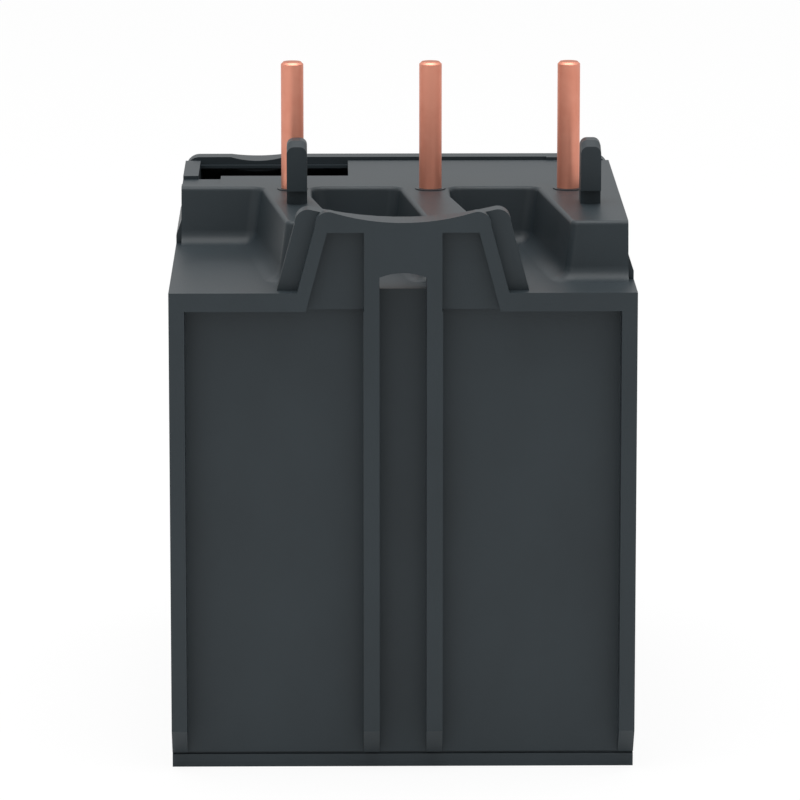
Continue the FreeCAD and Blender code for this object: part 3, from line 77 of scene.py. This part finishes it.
# ---- shader expressions ----
class Expr:
    """A shader socket that Python's operators turn into Math nodes."""

    def __init__(self, graph, socket):
        self.graph = graph
        self.socket = socket

    def math(self, operation, *values):
        return self.graph.node("ShaderNodeMath", {"operation": operation}, dict(enumerate(values)))

    def __add__(self, other):
        return self.math("ADD", self, other)

    def __sub__(self, other):
        return self.math("SUBTRACT", self, other)

    def __rsub__(self, other):
        return self.math("SUBTRACT", other, self)

    def __mul__(self, other):
        return self.math("MULTIPLY", self, other)

    def __truediv__(self, other):
        return self.math("DIVIDE", self, other)

    __radd__ = __add__
    __rmul__ = __mul__

    def clamp(self):
        """The value held between 0 and 1."""
        return self.graph.node("ShaderNodeClamp", {}, {0: self})


class Graph:
    """A node tree: any node comes from one method, and sockets take values or expressions."""

    def __init__(self, tree):
        self.tree = tree

    def fill(self, socket, value):
        """Links an expression to a socket, or sets its value."""
        if isinstance(value, Expr):
            self.tree.links.new(value.socket, socket)
        else:
            socket.default_value = value

    def node(self, kind, settings, values, output=0):
        """Any node: its type, its settings first, then the values or links of its sockets."""
        node = self.tree.nodes.new(kind)
        for key, value in settings.items():
            if key == "stops":
                for element, (place, shade) in zip(self.stops(node, len(value)), value):
                    element.position = place
                    element.color = (shade, shade, shade, 1)
            else:
                setattr(node, key, value)
        for key, value in values.items():
            self.fill(node.inputs[key], value)
        return Expr(self, node.outputs[output])

    @staticmethod
    def stops(node, count):
        """The ramp's elements, as many as asked."""
        elements = node.color_ramp.elements
        while len(elements) < count:
            elements.new(1.0)
        return elements

    def ramp(self, value, *stops):
        """Value passed through (place, shade) stops."""
        return self.node("ShaderNodeValToRGB", {"stops": stops}, {"Fac": value})

    def ray(self, kind):
        """1 for rays of the kind named, 0 for others."""
        return self.node("ShaderNodeLightPath", {}, {}, kind)

    def sees_paper(self, sheen):
        """How much of the white backdrop a ray sees: the lens and glass all of it, a gloss its sheen."""
        direct = self.ray("Is Camera Ray") + self.ray("Is Transmission Ray")
        return (direct + self.ray("Is Glossy Ray") * sheen).clamp()

    def height(self, place):
        """The Z of a place."""
        return self.node("ShaderNodeSeparateXYZ", {}, {0: place}, "Z")


class Finish(Graph):
    """A node material, grown from one Principled shader."""

    def __init__(self, name, **sockets):
        self.material = bpy.data.materials.new(name)
        self.material.use_nodes = True
        super().__init__(self.material.node_tree)
        self.shader = self.tree.nodes["Principled BSDF"]
        for socket, value in sockets.items():
            self.put(socket.replace("_", " ").title(), value)

    def put(self, socket, value):
        """Sets or links one socket of the Principled shader."""
        self.fill(self.shader.inputs[socket], value)

    def place(self, scale=(1, 1, 1)):
        """Object coordinates, scaled per axis."""
        at = self.node("ShaderNodeTexCoord", {}, {}, "Object")
        return self.node("ShaderNodeMapping", {}, {"Vector": at, "Scale": scale})

    def noise(self, scale, detail=2.0, rough=0.5, stretch=(1, 1, 1)):
        """Fractal noise, scale in cells per metre, stretched per axis."""
        return self.node("ShaderNodeTexNoise", {}, {"Vector": self.place(stretch), "Scale": scale,
                                                    "Detail": detail, "Roughness": rough})

    def cells(self, scale):
        """Distance to the nearest of scattered points, scale in cells per metre."""
        return self.node("ShaderNodeTexVoronoi", {}, {"Vector": self.place(), "Scale": scale})

    def blend(self, fac, first, second):
        """Colour between two colours."""
        return self.node("ShaderNodeMix", {"data_type": "RGBA"}, {0: fac, 6: first, 7: second}, 2)

    def bump(self, height, depth):
        """Normal raised by height times depth, in metres."""
        return self.node("ShaderNodeBump", {}, {"Strength": 1.0, "Distance": depth, "Height": height})


def rgba(colour, gain=1.0):
    """Colour times gain, with full alpha."""
    return tinted(colour, gain, gain, gain)


def tinted(colour, red, green, blue):
    """Colour with a gain for each channel, with full alpha."""
    return (colour[0] * red, colour[1] * green, colour[2] * blue, 1.0)


def drawn_out(axis, share):
    """Scale per axis that makes a pattern 1 / share times as long along one axis."""
    return tuple(share if index == axis else 1.0 for index in range(3))


# ---- finishes ----
def moulded(name, colour, rough=0.4, grain=0.00016, depth=0.000008, mottle=0.08, specular=0.5, shine=0.06):
    """Moulded thermoplastic: spark-eroded grain, faint flow clouds and a satin that varies with them."""
    finish = Finish(name)
    finish.put("Specular IOR Level", specular)
    clouds = finish.noise(120, 3, 0.55, (1, 1, 0.6))
    fine = finish.noise(1 / grain, 2, 0.6)
    pits = finish.cells(0.8 / grain)
    finish.put("Base Color", finish.blend(finish.ramp(clouds, (0.3, 0.0), (0.7, 1.0)), rgba(colour, 1 - mottle),
                                          rgba(colour, 1 + mottle)))
    finish.put("Roughness", rough + (clouds - 0.5) * shine + (fine - 0.5) * shine)
    finish.put("Normal", finish.bump(fine * 0.6 + pits * 0.4, depth))
    return finish.material


def drawn_copper(name, colour, lengthwise, rough=0.46, seat=None, tip=None, shade=None):
    """Copper drawn through a die: fine lines along it and a little tarnish in patches.

    Between seat and tip, heights in metres, it is bright; below seat it carries a painted contact shadow in the shade
    colour, and its sheared end above tip is matt.
    """
    finish = Finish(name)
    lines = finish.noise(7000, 2, 0.5, drawn_out(lengthwise, 0.02))
    tarnish = finish.noise(260, 3, 0.6)
    cover = finish.ramp(tarnish, (0.45, 0.0), (0.75, 1.0))
    skin = finish.blend(cover, rgba(colour), tinted(colour, 0.93, 0.86, 0.83))
    metal = COPPER_METALLIC
    worn = rough + (lines - 0.5) * 0.05 + cover * 0.05
    if seat is not None:
        height = finish.height(finish.place())
        # painted shadow: below the seat height the colour turns to the shade colour and the metal goes, as a contact
        # shadow
        contact_shadow = ((seat - height) * EDGE_SHARPNESS).clamp()
        sheared = ((height - tip) * EDGE_SHARPNESS).clamp()
        skin = finish.blend(sheared * 0.75, finish.blend(contact_shadow, skin, rgba(shade)), rgba(colour, 0.35))
        metal = COPPER_METALLIC - contact_shadow * COPPER_METALLIC - sheared * 0.5
        worn = worn + sheared * 0.35
    finish.put("Base Color", skin)
    finish.put("Metallic", metal)
    finish.put("Roughness", worn)
    finish.put("Normal", finish.bump(lines, 0.000002))
    return finish.material


def plated(name, colour, rough=0.32, spangle=1400, lines=None, depth=0.000003):
    """Plated or rolled metal: faint spangle, and rolling lines along one axis where it has any."""
    finish = Finish(name, metallic=1.0)
    spots = finish.cells(spangle)
    stretch = (1, 1, 1) if lines is None else drawn_out(lines, 0.03)
    scratches = finish.noise(7000, 2, 0.65, stretch)
    finish.put("Base Color", finish.blend(spots, rgba(colour, 0.92), rgba(colour, 1.06)))
    finish.put("Roughness", rough + (spots - 0.4) * 0.06 + (scratches - 0.5) * 0.14)
    finish.put("Normal", finish.bump(scratches, depth))
    return finish.material


def two_metal_strip(name, colour):
    """Bimetal: rolled lines along its length, straw tint near the hot end."""
    finish = Finish(name, metallic=1.0)
    height = finish.height(finish.place())
    heat = finish.ramp((height - HEAT_LOW) / HEAT_SPAN, (0.0, 0.0), (0.5, 1.0), (1.0, 0.2))
    lines = finish.noise(8000, 2, 0.6, drawn_out(UP, 0.03))
    finish.put("Base Color", finish.blend(heat, rgba(colour), tinted(colour, 0.95, 0.8, 0.55)))
    finish.put("Roughness", 0.3 + (lines - 0.5) * 0.16)
    finish.put("Normal", finish.bump(lines, 0.000004))
    return finish.material


def resistance_wire(name, colour):
    """Heater wire: oxide in dark and straw patches, drawn scratches."""
    finish = Finish(name, metallic=0.9)
    oxide = finish.noise(700, 4, 0.6)
    patches = finish.ramp(oxide, (0.35, 0.0), (0.65, 1.0))
    finish.put("Base Color", finish.blend(patches, rgba(colour, 0.7), tinted(colour, 1.2, 1.0, 0.8)))
    finish.put("Roughness", 0.38 + (oxide - 0.5) * 0.3)
    finish.put("Normal", finish.bump(oxide, 0.000008))
    return finish.material


def clear_moulding(name, colour):
    """Clear polycarbonate with faint flow lines and handling haze."""
    finish = Finish(name, transmission_weight=1.0)
    finish.put("IOR", 1.58)
    haze = finish.noise(500, 3, 0.6, (1, 1, 0.3))
    finish.put("Base Color", finish.blend(haze, rgba(colour, 0.97), rgba(colour)))
    finish.put("Roughness", 0.03 + haze * 0.05)
    finish.put("Normal", finish.bump(haze, 0.000004))
    return finish.material


def ink(name, colour):
    """Pad-printed ink with tiny speckle."""
    finish = Finish(name)
    speckle = finish.noise(9000, 2, 0.6)
    finish.put("Base Color", finish.blend(speckle, rgba(colour, 0.9), rgba(colour)))
    finish.put("Roughness", 0.5 + (speckle - 0.5) * 0.2)
    return finish.material


# ---- pieces ----
def dress(material, *nodes):
    """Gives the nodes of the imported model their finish."""
    for name in nodes:
        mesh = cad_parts[name].data
        mesh.materials.clear()
        mesh.materials.append(material)


def numbered(stem, count):
    """Names stem_1 to stem_count."""
    return ["%s_%d" % (stem, i + 1) for i in range(count)]


def make_piece(name, points, faces, body, material, replaces=()):
    """A mesh piece with its place in its vertices, which rides on a body."""
    mesh = bpy.data.meshes.new(name)
    mesh.from_pydata(points.reshape(-1, 3).tolist(), [], faces)
    mesh.materials.append(material)
    mesh.shade_smooth()
    piece = bpy.data.objects.new(name, mesh)
    bpy.context.scene.collection.objects.link(piece)
    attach(piece, body)
    if replaces:
        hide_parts(*replaces)
    return piece


def tube_faces(rings, sides):
    """Quads between neighbouring rings, and a face over each end."""
    a = np.arange((rings - 1) * sides)
    ring, side = np.divmod(a, sides)
    along = ring * sides
    after = (side + 1) % sides
    quads = np.stack([along + side, along + after, along + sides + after, along + sides + side], axis=1)
    first = list(range(sides))[::-1]
    last = list(range((rings - 1) * sides, rings * sides))
    return quads.tolist() + [first, last]


def spring_surface(x, z, y_free, y_seat, radius, wire, turns, rings, sides):
    """Round wire swept along a helix about an axis parallel to Y.

    The centre line is (x + R cos a, y(t), z + R sin a) with a = 2 pi turns t, and y(t) eases at both ends,
    so the end turns lie closed. Each ring is the wire's circle on the line's normal and binormal.
    """
    t = np.linspace(0.0, 1.0, rings)
    angle = 2 * np.pi * turns * t
    closed = 1.1 / turns
    free = np.clip((t - closed) / (1 - 2 * closed), 0, 1)
    ends = (np.clip(t / closed, 0, 1) + np.clip((t - 1 + closed) / closed, 0, 1)) * wire * 2.1
    length = (y_seat - y_free) - 2 * wire * 2.1 - 2 * wire
    y = y_free + wire + ends + free * length
    centre = np.stack([x + radius * np.cos(angle), y, z + radius * np.sin(angle)], axis=1)
    tangent = np.gradient(centre, axis=0)
    tangent /= np.linalg.norm(tangent, axis=1, keepdims=True)
    outward = np.stack([np.cos(angle), np.zeros(rings), np.sin(angle)], axis=1)
    side = np.cross(tangent, outward)
    side /= np.linalg.norm(side, axis=1, keepdims=True)
    turn = np.linspace(0, 2 * np.pi, sides, endpoint=False)[None, :, None]
    return centre[:, None, :] + wire * (np.cos(turn) * outward[:, None, :] + np.sin(turn) * side[:, None, :])


def bar_marks(centre_x, centre_z, y, angles, inner, outer, width, lift):
    """Flat raised bars on rays from a centre in the XZ plane.

    Each is the box r in [inner, outer], s in [-width/2, width/2] on the ray's direction and its normal.
    """
    angles = np.asarray(angles)[:, None]
    r = np.array([inner, outer, outer, inner])[None, :]
    s = np.array([-0.5, -0.5, 0.5, 0.5])[None, :] * width
    x = centre_x + r * np.cos(angles) - s * np.sin(angles)
    z = centre_z + r * np.sin(angles) + s * np.cos(angles)
    front = np.stack([x, np.full_like(x, y - lift), z], axis=2)
    back = np.stack([x, np.full_like(x, y), z], axis=2)
    points = np.concatenate([front, back], axis=1)
    box = [[0, 1, 2, 3], [7, 6, 5, 4], [0, 4, 5, 1], [1, 5, 6, 2], [2, 6, 7, 3], [3, 7, 4, 0]]
    faces = [[8 * i + corner for corner in face] for i in range(len(angles)) for face in box]
    return points, faces


def lettering(name, texts, size, y, lift, body, material):
    """Raised figures that face -Y: texts is a list of (figure, x, z, turn about the axis)."""
    points = []
    faces = []
    for figure, x, z, turn in texts:
        curve = bpy.data.curves.new(name, "FONT")
        curve.body = figure
        curve.size = size
        curve.align_x = "CENTER"
        curve.align_y = "CENTER"
        curve.extrude = lift / 2
        curve.resolution_u = 3
        holder = bpy.data.objects.new(name, curve)
        mesh = bpy.data.meshes.new_from_object(holder)
        upright = Matrix.Rotation(math.pi - turn, 4, "Y") @ Matrix.Rotation(math.pi / 2, 4, "X")
        mesh.transform(Matrix.Translation((x, y - lift / 2, z)) @ upright)
        start = len(points)
        points += [tuple(v.co) for v in mesh.vertices]
        faces += [[start + v for v in p.vertices] for p in mesh.polygons]
        bpy.data.objects.remove(holder)
        bpy.data.curves.remove(curve)
        bpy.data.meshes.remove(mesh)
    return make_piece(name, np.array(points), faces, body, material)


# ---- what a user would change ----
class PlasticSettings(bpy.types.PropertyGroup):
    """Colours and surface of the moulded pieces."""
    housing: FloatVectorProperty(name="Housing", description="Colour of the three housing mouldings", subtype="COLOR",
                                 size=3, min=0, max=1, default=(0.022, 0.030, 0.035))
    gear: FloatVectorProperty(name="Trip gear", description="Colour of the inner bars and levers", subtype="COLOR",
                              size=3, min=0, max=1, default=(0.62, 0.60, 0.54))
    dial: FloatVectorProperty(name="Dial", description="Colour of the dial and the selector", subtype="COLOR",
                              size=3, min=0, max=1, default=(0.78, 0.78, 0.75))
    stop: FloatVectorProperty(name="Stop button", description="Colour of the stop and test buttons", subtype="COLOR",
                              size=3, min=0, max=1, default=(0.50, 0.015, 0.012))
    reset: FloatVectorProperty(name="Reset button", description="Colour of the reset button", subtype="COLOR",
                               size=3, min=0, max=1, default=(0.012, 0.07, 0.35))
    flag: FloatVectorProperty(name="Trip flag", description="Colour of the trip flag", subtype="COLOR",
                              size=3, min=0, max=1, default=(0.80, 0.22, 0.02))
    roughness: FloatProperty(name="Roughness", description="Roughness of the housing", subtype="FACTOR",
                             min=0.1, max=0.9, default=0.42)
    gloss: FloatProperty(name="Gloss", description="Specular level of the housing", subtype="FACTOR",
                         min=0, max=1, default=0.25)
    grain: FloatProperty(name="Grain", description="Width of the moulded grain", unit="LENGTH",
                         min=0.00005, max=0.001, precision=5, default=0.00018)


class MetalSettings(bpy.types.PropertyGroup):
    """Colours of the metal pieces."""
    copper: FloatVectorProperty(name="Copper", description="Colour of the pins and brackets", subtype="COLOR",
                                size=3, min=0, max=1, default=(0.76, 0.32, 0.225))
    # Seat is the height up to which the pins carry a painted contact shadow in the housing colour.
    seat: FloatProperty(name="Seat", description="Height up to which the deck blackens the pins", unit="LENGTH",
                        min=0, max=0.1, precision=5, default=0.05326)
    sheared: FloatProperty(name="Sheared end", description="Height of the pins' matt end", unit="LENGTH",
                           min=0, max=0.002, precision=5, default=0.00006)
    tin: FloatVectorProperty(name="Tinned brass", description="Colour of the conductors", subtype="COLOR",
                             size=3, min=0, max=1, default=(0.66, 0.61, 0.50))
    zinc: FloatVectorProperty(name="Zinc plate", description="Colour of screws, clamps and pivot pins",
                              subtype="COLOR", size=3, min=0, max=1, default=(0.60, 0.62, 0.64))


class SpringSettings(bpy.types.PropertyGroup):
    """Sizes of the button springs."""
    wire: FloatProperty(name="Wire", description="Radius of the spring wire", unit="LENGTH", min=0.0001, max=0.001,
                        precision=5, default=0.00025)
    turns: IntProperty(name="Turns", description="Turns of each spring", min=4, max=16, default=9)
    stop: FloatProperty(name="Stop travel", description="How far the stop button goes in", unit="LENGTH", min=0,
                        max=0.005, precision=5, default=0.002)
    reset: FloatProperty(name="Reset travel", description="How far the reset button goes in", unit="LENGTH", min=0,
                         max=0.005, precision=5, default=0.003)
    test: FloatProperty(name="Test travel", description="How far the test button goes in", unit="LENGTH", min=0,
                        max=0.005, precision=5, default=0.0015)


class MarkSettings(bpy.types.PropertyGroup):
    """The printed marks round the dial."""
    light: FloatVectorProperty(name="Light ink", description="Ink on dark mouldings", subtype="COLOR",
                               size=3, min=0, max=1, default=(0.75, 0.75, 0.73))
    dark: FloatVectorProperty(name="Dark ink", description="Ink on light mouldings", subtype="COLOR",
                              size=3, min=0, max=1, default=(0.03, 0.03, 0.035))
    ticks: IntProperty(name="Ticks", description="Ticks round the dial", min=2, max=31, default=11)
    figures: IntProperty(name="Figures", description="Figures on the dial", min=2, max=9, default=7)
    beyond: FloatProperty(name="Beyond", description="Degrees by which the ticks pass the lower half circle",
                          min=0, max=80, default=20)
    recess: FloatProperty(name="Recess", description="From the dial's face to the pocket's floor", unit="LENGTH",
                          min=0, max=0.01, precision=5, default=0.0021)
    lift: FloatProperty(name="Lift", description="Thickness of the ink", unit="LENGTH", min=0.00001, max=0.0005,
                        precision=5, default=0.00004)


class StageSettings(bpy.types.PropertyGroup):
    """Floor, lamps and camera."""
    floor: FloatVectorProperty(name="Floor", description="Colour of the floor", subtype="COLOR", size=3, min=0, max=1,
                               default=(0.86, 0.86, 0.86))
    glow: FloatProperty(name="Floor glow", description="Share of pure white in what the lens sees of the floor",
                        subtype="FACTOR", min=0, max=1, default=0.9)
    ambient: FloatProperty(name="Ambient", description="Strength of the light from all round", min=0, max=3,
                           default=1.0)
    sheen: FloatProperty(name="Sheen", description="Share of the white backdrop that a gloss shows", subtype="FACTOR",
                         min=0, max=1, default=0.3)
    horizon: FloatProperty(name="Horizon", description="Share of the ambient light near the horizon",
                           subtype="FACTOR", min=0, max=1, default=0.2)
    overhead: FloatProperty(name="Overhead", description="Power of the softbox above", unit="POWER", min=0, max=100,
                            default=2.6)
    key: FloatProperty(name="Key", description="Power of the softbox beside the camera", unit="POWER", min=0, max=100,
                       default=0.3)
    lens: FloatProperty(name="Lens", description="Focal length of the camera in millimetres", min=10, max=500,
                        default=253.7)


class RelaySettings(bpy.types.PropertyGroup):
    """All settings of the relay and its studio."""
    plastic: PointerProperty(type=PlasticSettings, name="Plastic", description="Moulded pieces")
    metal: PointerProperty(type=MetalSettings, name="Metal", description="Metal pieces")
    springs: PointerProperty(type=SpringSettings, name="Springs", description="Button springs")
    marks: PointerProperty(type=MarkSettings, name="Marks", description="Printed marks")
    stage: PointerProperty(type=StageSettings, name="Stage", description="Floor, lamps and camera")


# ---- operators ----
class RELAY_OT_housing(bpy.types.Operator):
    """Finishes the rear housing, the front cover and the terminal block"""
    bl_idname = "relay.housing"
    bl_label = "Housing"

    def execute(self, context):
        look = context.scene.relay.plastic
        shell = moulded("housing_plastic", look.housing, look.roughness, look.grain, specular=look.gloss)
        dress(shell, "rear_housing", "front_cover", "terminal_block")
        return {"FINISHED"}


class RELAY_OT_pins(bpy.types.Operator):
    """Finishes the connection pins and their brackets"""
    bl_idname = "relay.pins"
    bl_label = "Connection pins"

    def execute(self, context):
        look = context.scene.relay.metal
        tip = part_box("pin_1")[1].z
        # the housing colour paints the contact shadow at the pins' feet, up to the seat height
        upright = drawn_copper("drawn_copper", look.copper, UP, 0.46, look.seat, tip - look.sheared,
                               context.scene.relay.plastic.housing)
        level = drawn_copper("stamped_copper", look.copper, 1, 0.5)
        dress(upright, *numbered("pin", 3))
        dress(level, *numbered("pin_bracket", 3))
        return {"FINISHED"}


class RELAY_OT_terminals(bpy.types.Operator):
    """Finishes the screws, clamps and conductors"""
    bl_idname = "relay.terminals"
    bl_label = "Terminals"

    def execute(self, context):
        look = context.scene.relay.metal
        turned = plated("zinc_plate", look.zinc, 0.3)
        pressed = plated("zinc_plate_rolled", look.zinc, 0.36, lines=0)
        tinned = plated("tinned_brass", look.tin, 0.3, spangle=900, lines=1)
        dress(turned, *numbered("power_screw", 3), *numbered("aux_screw", 4))
        dress(pressed, *numbered("power_clamp", 3), *numbered("aux_clamp", 4))
        dress(tinned, *numbered("power_plate", 3), *numbered("aux_plate", 4))
        return {"FINISHED"}


class RELAY_OT_trip_gear(bpy.types.Operator):
    """Finishes the heaters, bimetals, bars, levers and contacts"""
    bl_idname = "relay.trip_gear"
    bl_label = "Trip gear"

    def execute(self, context):
        metal = context.scene.relay.metal
        plastic = context.scene.relay.plastic
        strip = two_metal_strip("bimetal", (0.56, 0.53, 0.48))
        wire = resistance_wire("resistance_wire", (0.40, 0.36, 0.31))
        gear = moulded("gear_plastic", plastic.gear, 0.5, 0.0003, 0.000006)
        pivots = plated("pivot_steel", metal.zinc, 0.24)
        bridge = plated("contact_brass", metal.tin, 0.3, lines=0)
        dress(strip, *numbered("bimetal_strip", 3), "compensating_strip")
        dress(wire, *numbered("heater_winding", 3))
        dress(gear, "slider_bar", "differential_bar", "differential_lever", "trip_lever", "contact_rocker")
        dress(pivots, "lever_pivot_pin", "rocker_pin", "cover_hinge_pin")
        dress(bridge, "nc_bridge", "no_bridge")
        return {"FINISHED"}


class RELAY_OT_controls(bpy.types.Operator):
    """Finishes the buttons, dial, selector, trip flag and clear flap"""
    bl_idname = "relay.controls"
    bl_label = "Controls"

    def execute(self, context):
        look = context.scene.relay.plastic
        dress(moulded("dial_plastic", look.dial, 0.38, 0.0002, 0.000004, 0.03),
              "adjustment_dial", "dial_cam", "mode_selector")
        dress(moulded("red_plastic", look.stop, 0.3, 0.0002, 0.000004, 0.05), "stop_button", "test_button")
        dress(moulded("blue_plastic", look.reset, 0.3, 0.0002, 0.000004, 0.05), "reset_button")
        dress(moulded("flag_plastic", look.flag, 0.4, 0.0002, 0.000004, 0.04), "trip_flag")
        dress(clear_moulding("clear_plastic", (0.93, 0.95, 0.96)), "clear_cover")
        return {"FINISHED"}


class RELAY_OT_springs(bpy.types.Operator):
    """Winds the three button springs"""
    bl_idname = "relay.springs"
    bl_label = "Button springs"

    def execute(self, context):
        look = context.scene.relay.springs
        steel = plated("spring_steel", (0.42, 0.42, 0.44), 0.26)
        for button, travel in (("stop", look.stop), ("reset", look.reset), ("test", look.test)):
            name = button + "_spring"
            low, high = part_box(name)
            middle = (low + high) / 2
            radius = (high.x - low.x) / 2 - look.wire
            rings = look.turns * SPRING_STEPS
            points = spring_surface(middle.x, middle.z, low.y, high.y, radius, look.wire, look.turns, rings,
                                    SPRING_SIDES)
            coil = make_piece(name + "_coil", points, tube_faces(rings, SPRING_SIDES), "housing",
                              steel, [name])
            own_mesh(coil)
        return {"FINISHED"}


class RELAY_OT_dial_scale(bpy.types.Operator):
    """Prints the dial's figures, the ticks round it and the selector's two marks"""
    bl_idname = "relay.dial_scale"
    bl_label = "Dial scale"

    def execute(self, context):
        look = context.scene.relay.marks
        light = ink("white_ink", look.light)
        dark = ink("black_ink", look.dark)
        low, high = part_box("adjustment_dial")
        x, z = (low.x + high.x) / 2, (low.z + high.z) / 2
        radius = (high.x - low.x) / 2
        floor = low.y + look.recess
        angles = np.radians(np.linspace(180 - look.beyond, 360 + look.beyond, look.ticks))
        points, faces = bar_marks(x, z, floor, angles, radius * 1.04, radius * 1.13, radius * 0.05, look.lift)
        make_piece("dial_ticks", points, faces, "housing", light)
        turns = np.linspace(-0.75 * math.pi, 0.75 * math.pi, look.figures)
        places = [(str(i + 1), x + radius * 0.72 * math.sin(a), z - radius * 0.72 * math.cos(a), a)
                  for i, a in enumerate(turns)]
        lettering("dial_figures", places, radius * 0.25, low.y, look.lift, "dial", dark)
        low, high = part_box("mode_selector")
        x, z = (low.x + high.x) / 2, (low.z + high.z) / 2
        radius = (high.x - low.x) / 2
        points, faces = bar_marks(x, z, floor, np.radians((90, 180)), radius * 1.15, radius * 1.5, radius * 0.16,
                                  look.lift)
        make_piece("selector_marks", points, faces, "housing", light)
        return {"FINISHED"}


class RELAY_OT_stage(bpy.types.Operator):
    """Sets the floor, the lamps, the world and the camera"""
    bl_idname = "relay.stage"
    bl_label = "Stage"

    def execute(self, context):
        look = context.scene.relay.stage
        scene = context.scene
        scene.view_settings.view_transform = "Standard"
        self.floor(look)
        self.world(scene, look)
        self.lamp("overhead", look.overhead, 0.5, (0.0, 0.05, 0.55), LAMP_TARGET)
        self.lamp("key", look.key, 0.4, (0.35, 0.6, 0.35), LAMP_TARGET)
        self.camera(scene, look)
        return {"FINISHED"}

    def floor(self, look):
        """A wide square under the object, white to the lens but for the object's shadow."""
        finish = Finish("floor_paper", base_color=rgba(look.floor), roughness=0.7)
        cloud = finish.noise(8, 3)
        finish.put("Base Color", finish.blend(cloud, rgba(look.floor, 0.98), rgba(look.floor)))
        glow = finish.node("ShaderNodeEmission", {}, {"Color": (1, 1, 1, 1), "Strength": 1.0})
        share = finish.sees_paper(look.sheen) * look.glow
        paper = Expr(finish, finish.shader.outputs[0])
        mixed = finish.node("ShaderNodeMixShader", {}, {0: share, 1: paper, 2: glow})
        output = finish.tree.nodes["Material Output"]
        finish.tree.links.new(mixed.socket, output.inputs["Surface"])
        mesh = bpy.data.meshes.new("floor")
        r = FLOOR_REACH
        mesh.from_pydata([(-r, -r, 0), (r, -r, 0), (r, r, 0), (-r, r, 0)], [], [[0, 1, 2, 3]])
        mesh.materials.append(finish.material)
        floor = bpy.data.objects.new("floor", mesh)
        bpy.context.scene.collection.objects.link(floor)

    def world(self, scene, look):
        """A studio that is bright overhead and dim round the horizon, and white where the lens sees it."""
        world = bpy.data.worlds.new("studio")
        scene.world = world
        world.use_nodes = True
        graph = Graph(world.node_tree)
        height = graph.height(graph.node("ShaderNodeTexCoord", {}, {}, "Generated"))
        sky = graph.ramp(height * 0.5 + 0.5, (0.0, 0.5), (0.5, look.horizon), (0.75, 0.8), (1.0, 1.0))
        light = sky * look.ambient
        seen = graph.sees_paper(look.sheen)
        strength = graph.node("ShaderNodeMix", {}, {0: seen, 2: light, 3: 1.0})
        background = world.node_tree.nodes["Background"]
        graph.fill(background.inputs["Color"], (1, 1, 1, 1))
        graph.fill(background.inputs["Strength"], strength)

    def lamp(self, name, power, size, place, target):
        """Square softbox that faces a target."""
        data = bpy.data.lights.new(name, "AREA")
        data.energy = power
        data.size = size
        lamp = bpy.data.objects.new(name, data)
        lamp.location = place
        lamp.rotation_euler = (Vector(target) - Vector(place)).to_track_quat("-Z", "Y").to_euler()
        bpy.context.scene.collection.objects.link(lamp)

    def camera(self, scene, look):
        """Long lens behind the relay and a little above it."""
        data = bpy.data.cameras.new("camera")
        data.sensor_width = 36
        data.lens = look.lens
        data.clip_end = 50
        camera = bpy.data.objects.new("camera", data)
        camera.location = CAMERA_PLACE
        camera.rotation_euler = Vector(CAMERA_AIM).to_track_quat("-Z", "Y").to_euler()
        scene.collection.objects.link(camera)
        scene.camera = camera


OPERATORS = (
    RELAY_OT_housing, RELAY_OT_pins, RELAY_OT_terminals, RELAY_OT_trip_gear, RELAY_OT_controls,
    RELAY_OT_springs, RELAY_OT_dial_scale, RELAY_OT_stage,
)


class RELAY_PT_panel(bpy.types.Panel):
    """Lists the relay's pieces and its stage"""
    bl_idname = "RELAY_PT_panel"
    bl_label = "Relay"
    bl_space_type = "VIEW_3D"
    bl_region_type = "UI"
    bl_category = "Relay"

    def draw(self, context):
        for operator in OPERATORS:
            self.layout.operator(operator.bl_idname)


SETTINGS = (PlasticSettings, MetalSettings, SpringSettings, MarkSettings, StageSettings, RelaySettings)
CLASSES = SETTINGS + OPERATORS + (RELAY_PT_panel,)


def register():
    for cls in CLASSES:
        bpy.utils.register_class(cls)
    bpy.types.Scene.relay = PointerProperty(type=RelaySettings)


def unregister():
    del bpy.types.Scene.relay
    for cls in reversed(CLASSES):
        bpy.utils.unregister_class(cls)


def main():
    """Registers the add-on and makes every piece and the stage."""
    register()
    bpy.ops.relay.housing()
    bpy.ops.relay.pins()
    bpy.ops.relay.terminals()
    bpy.ops.relay.trip_gear()
    bpy.ops.relay.controls()
    bpy.ops.relay.springs()
    bpy.ops.relay.dial_scale()
    bpy.ops.relay.stage()


if __name__ == "__main__":
    main()
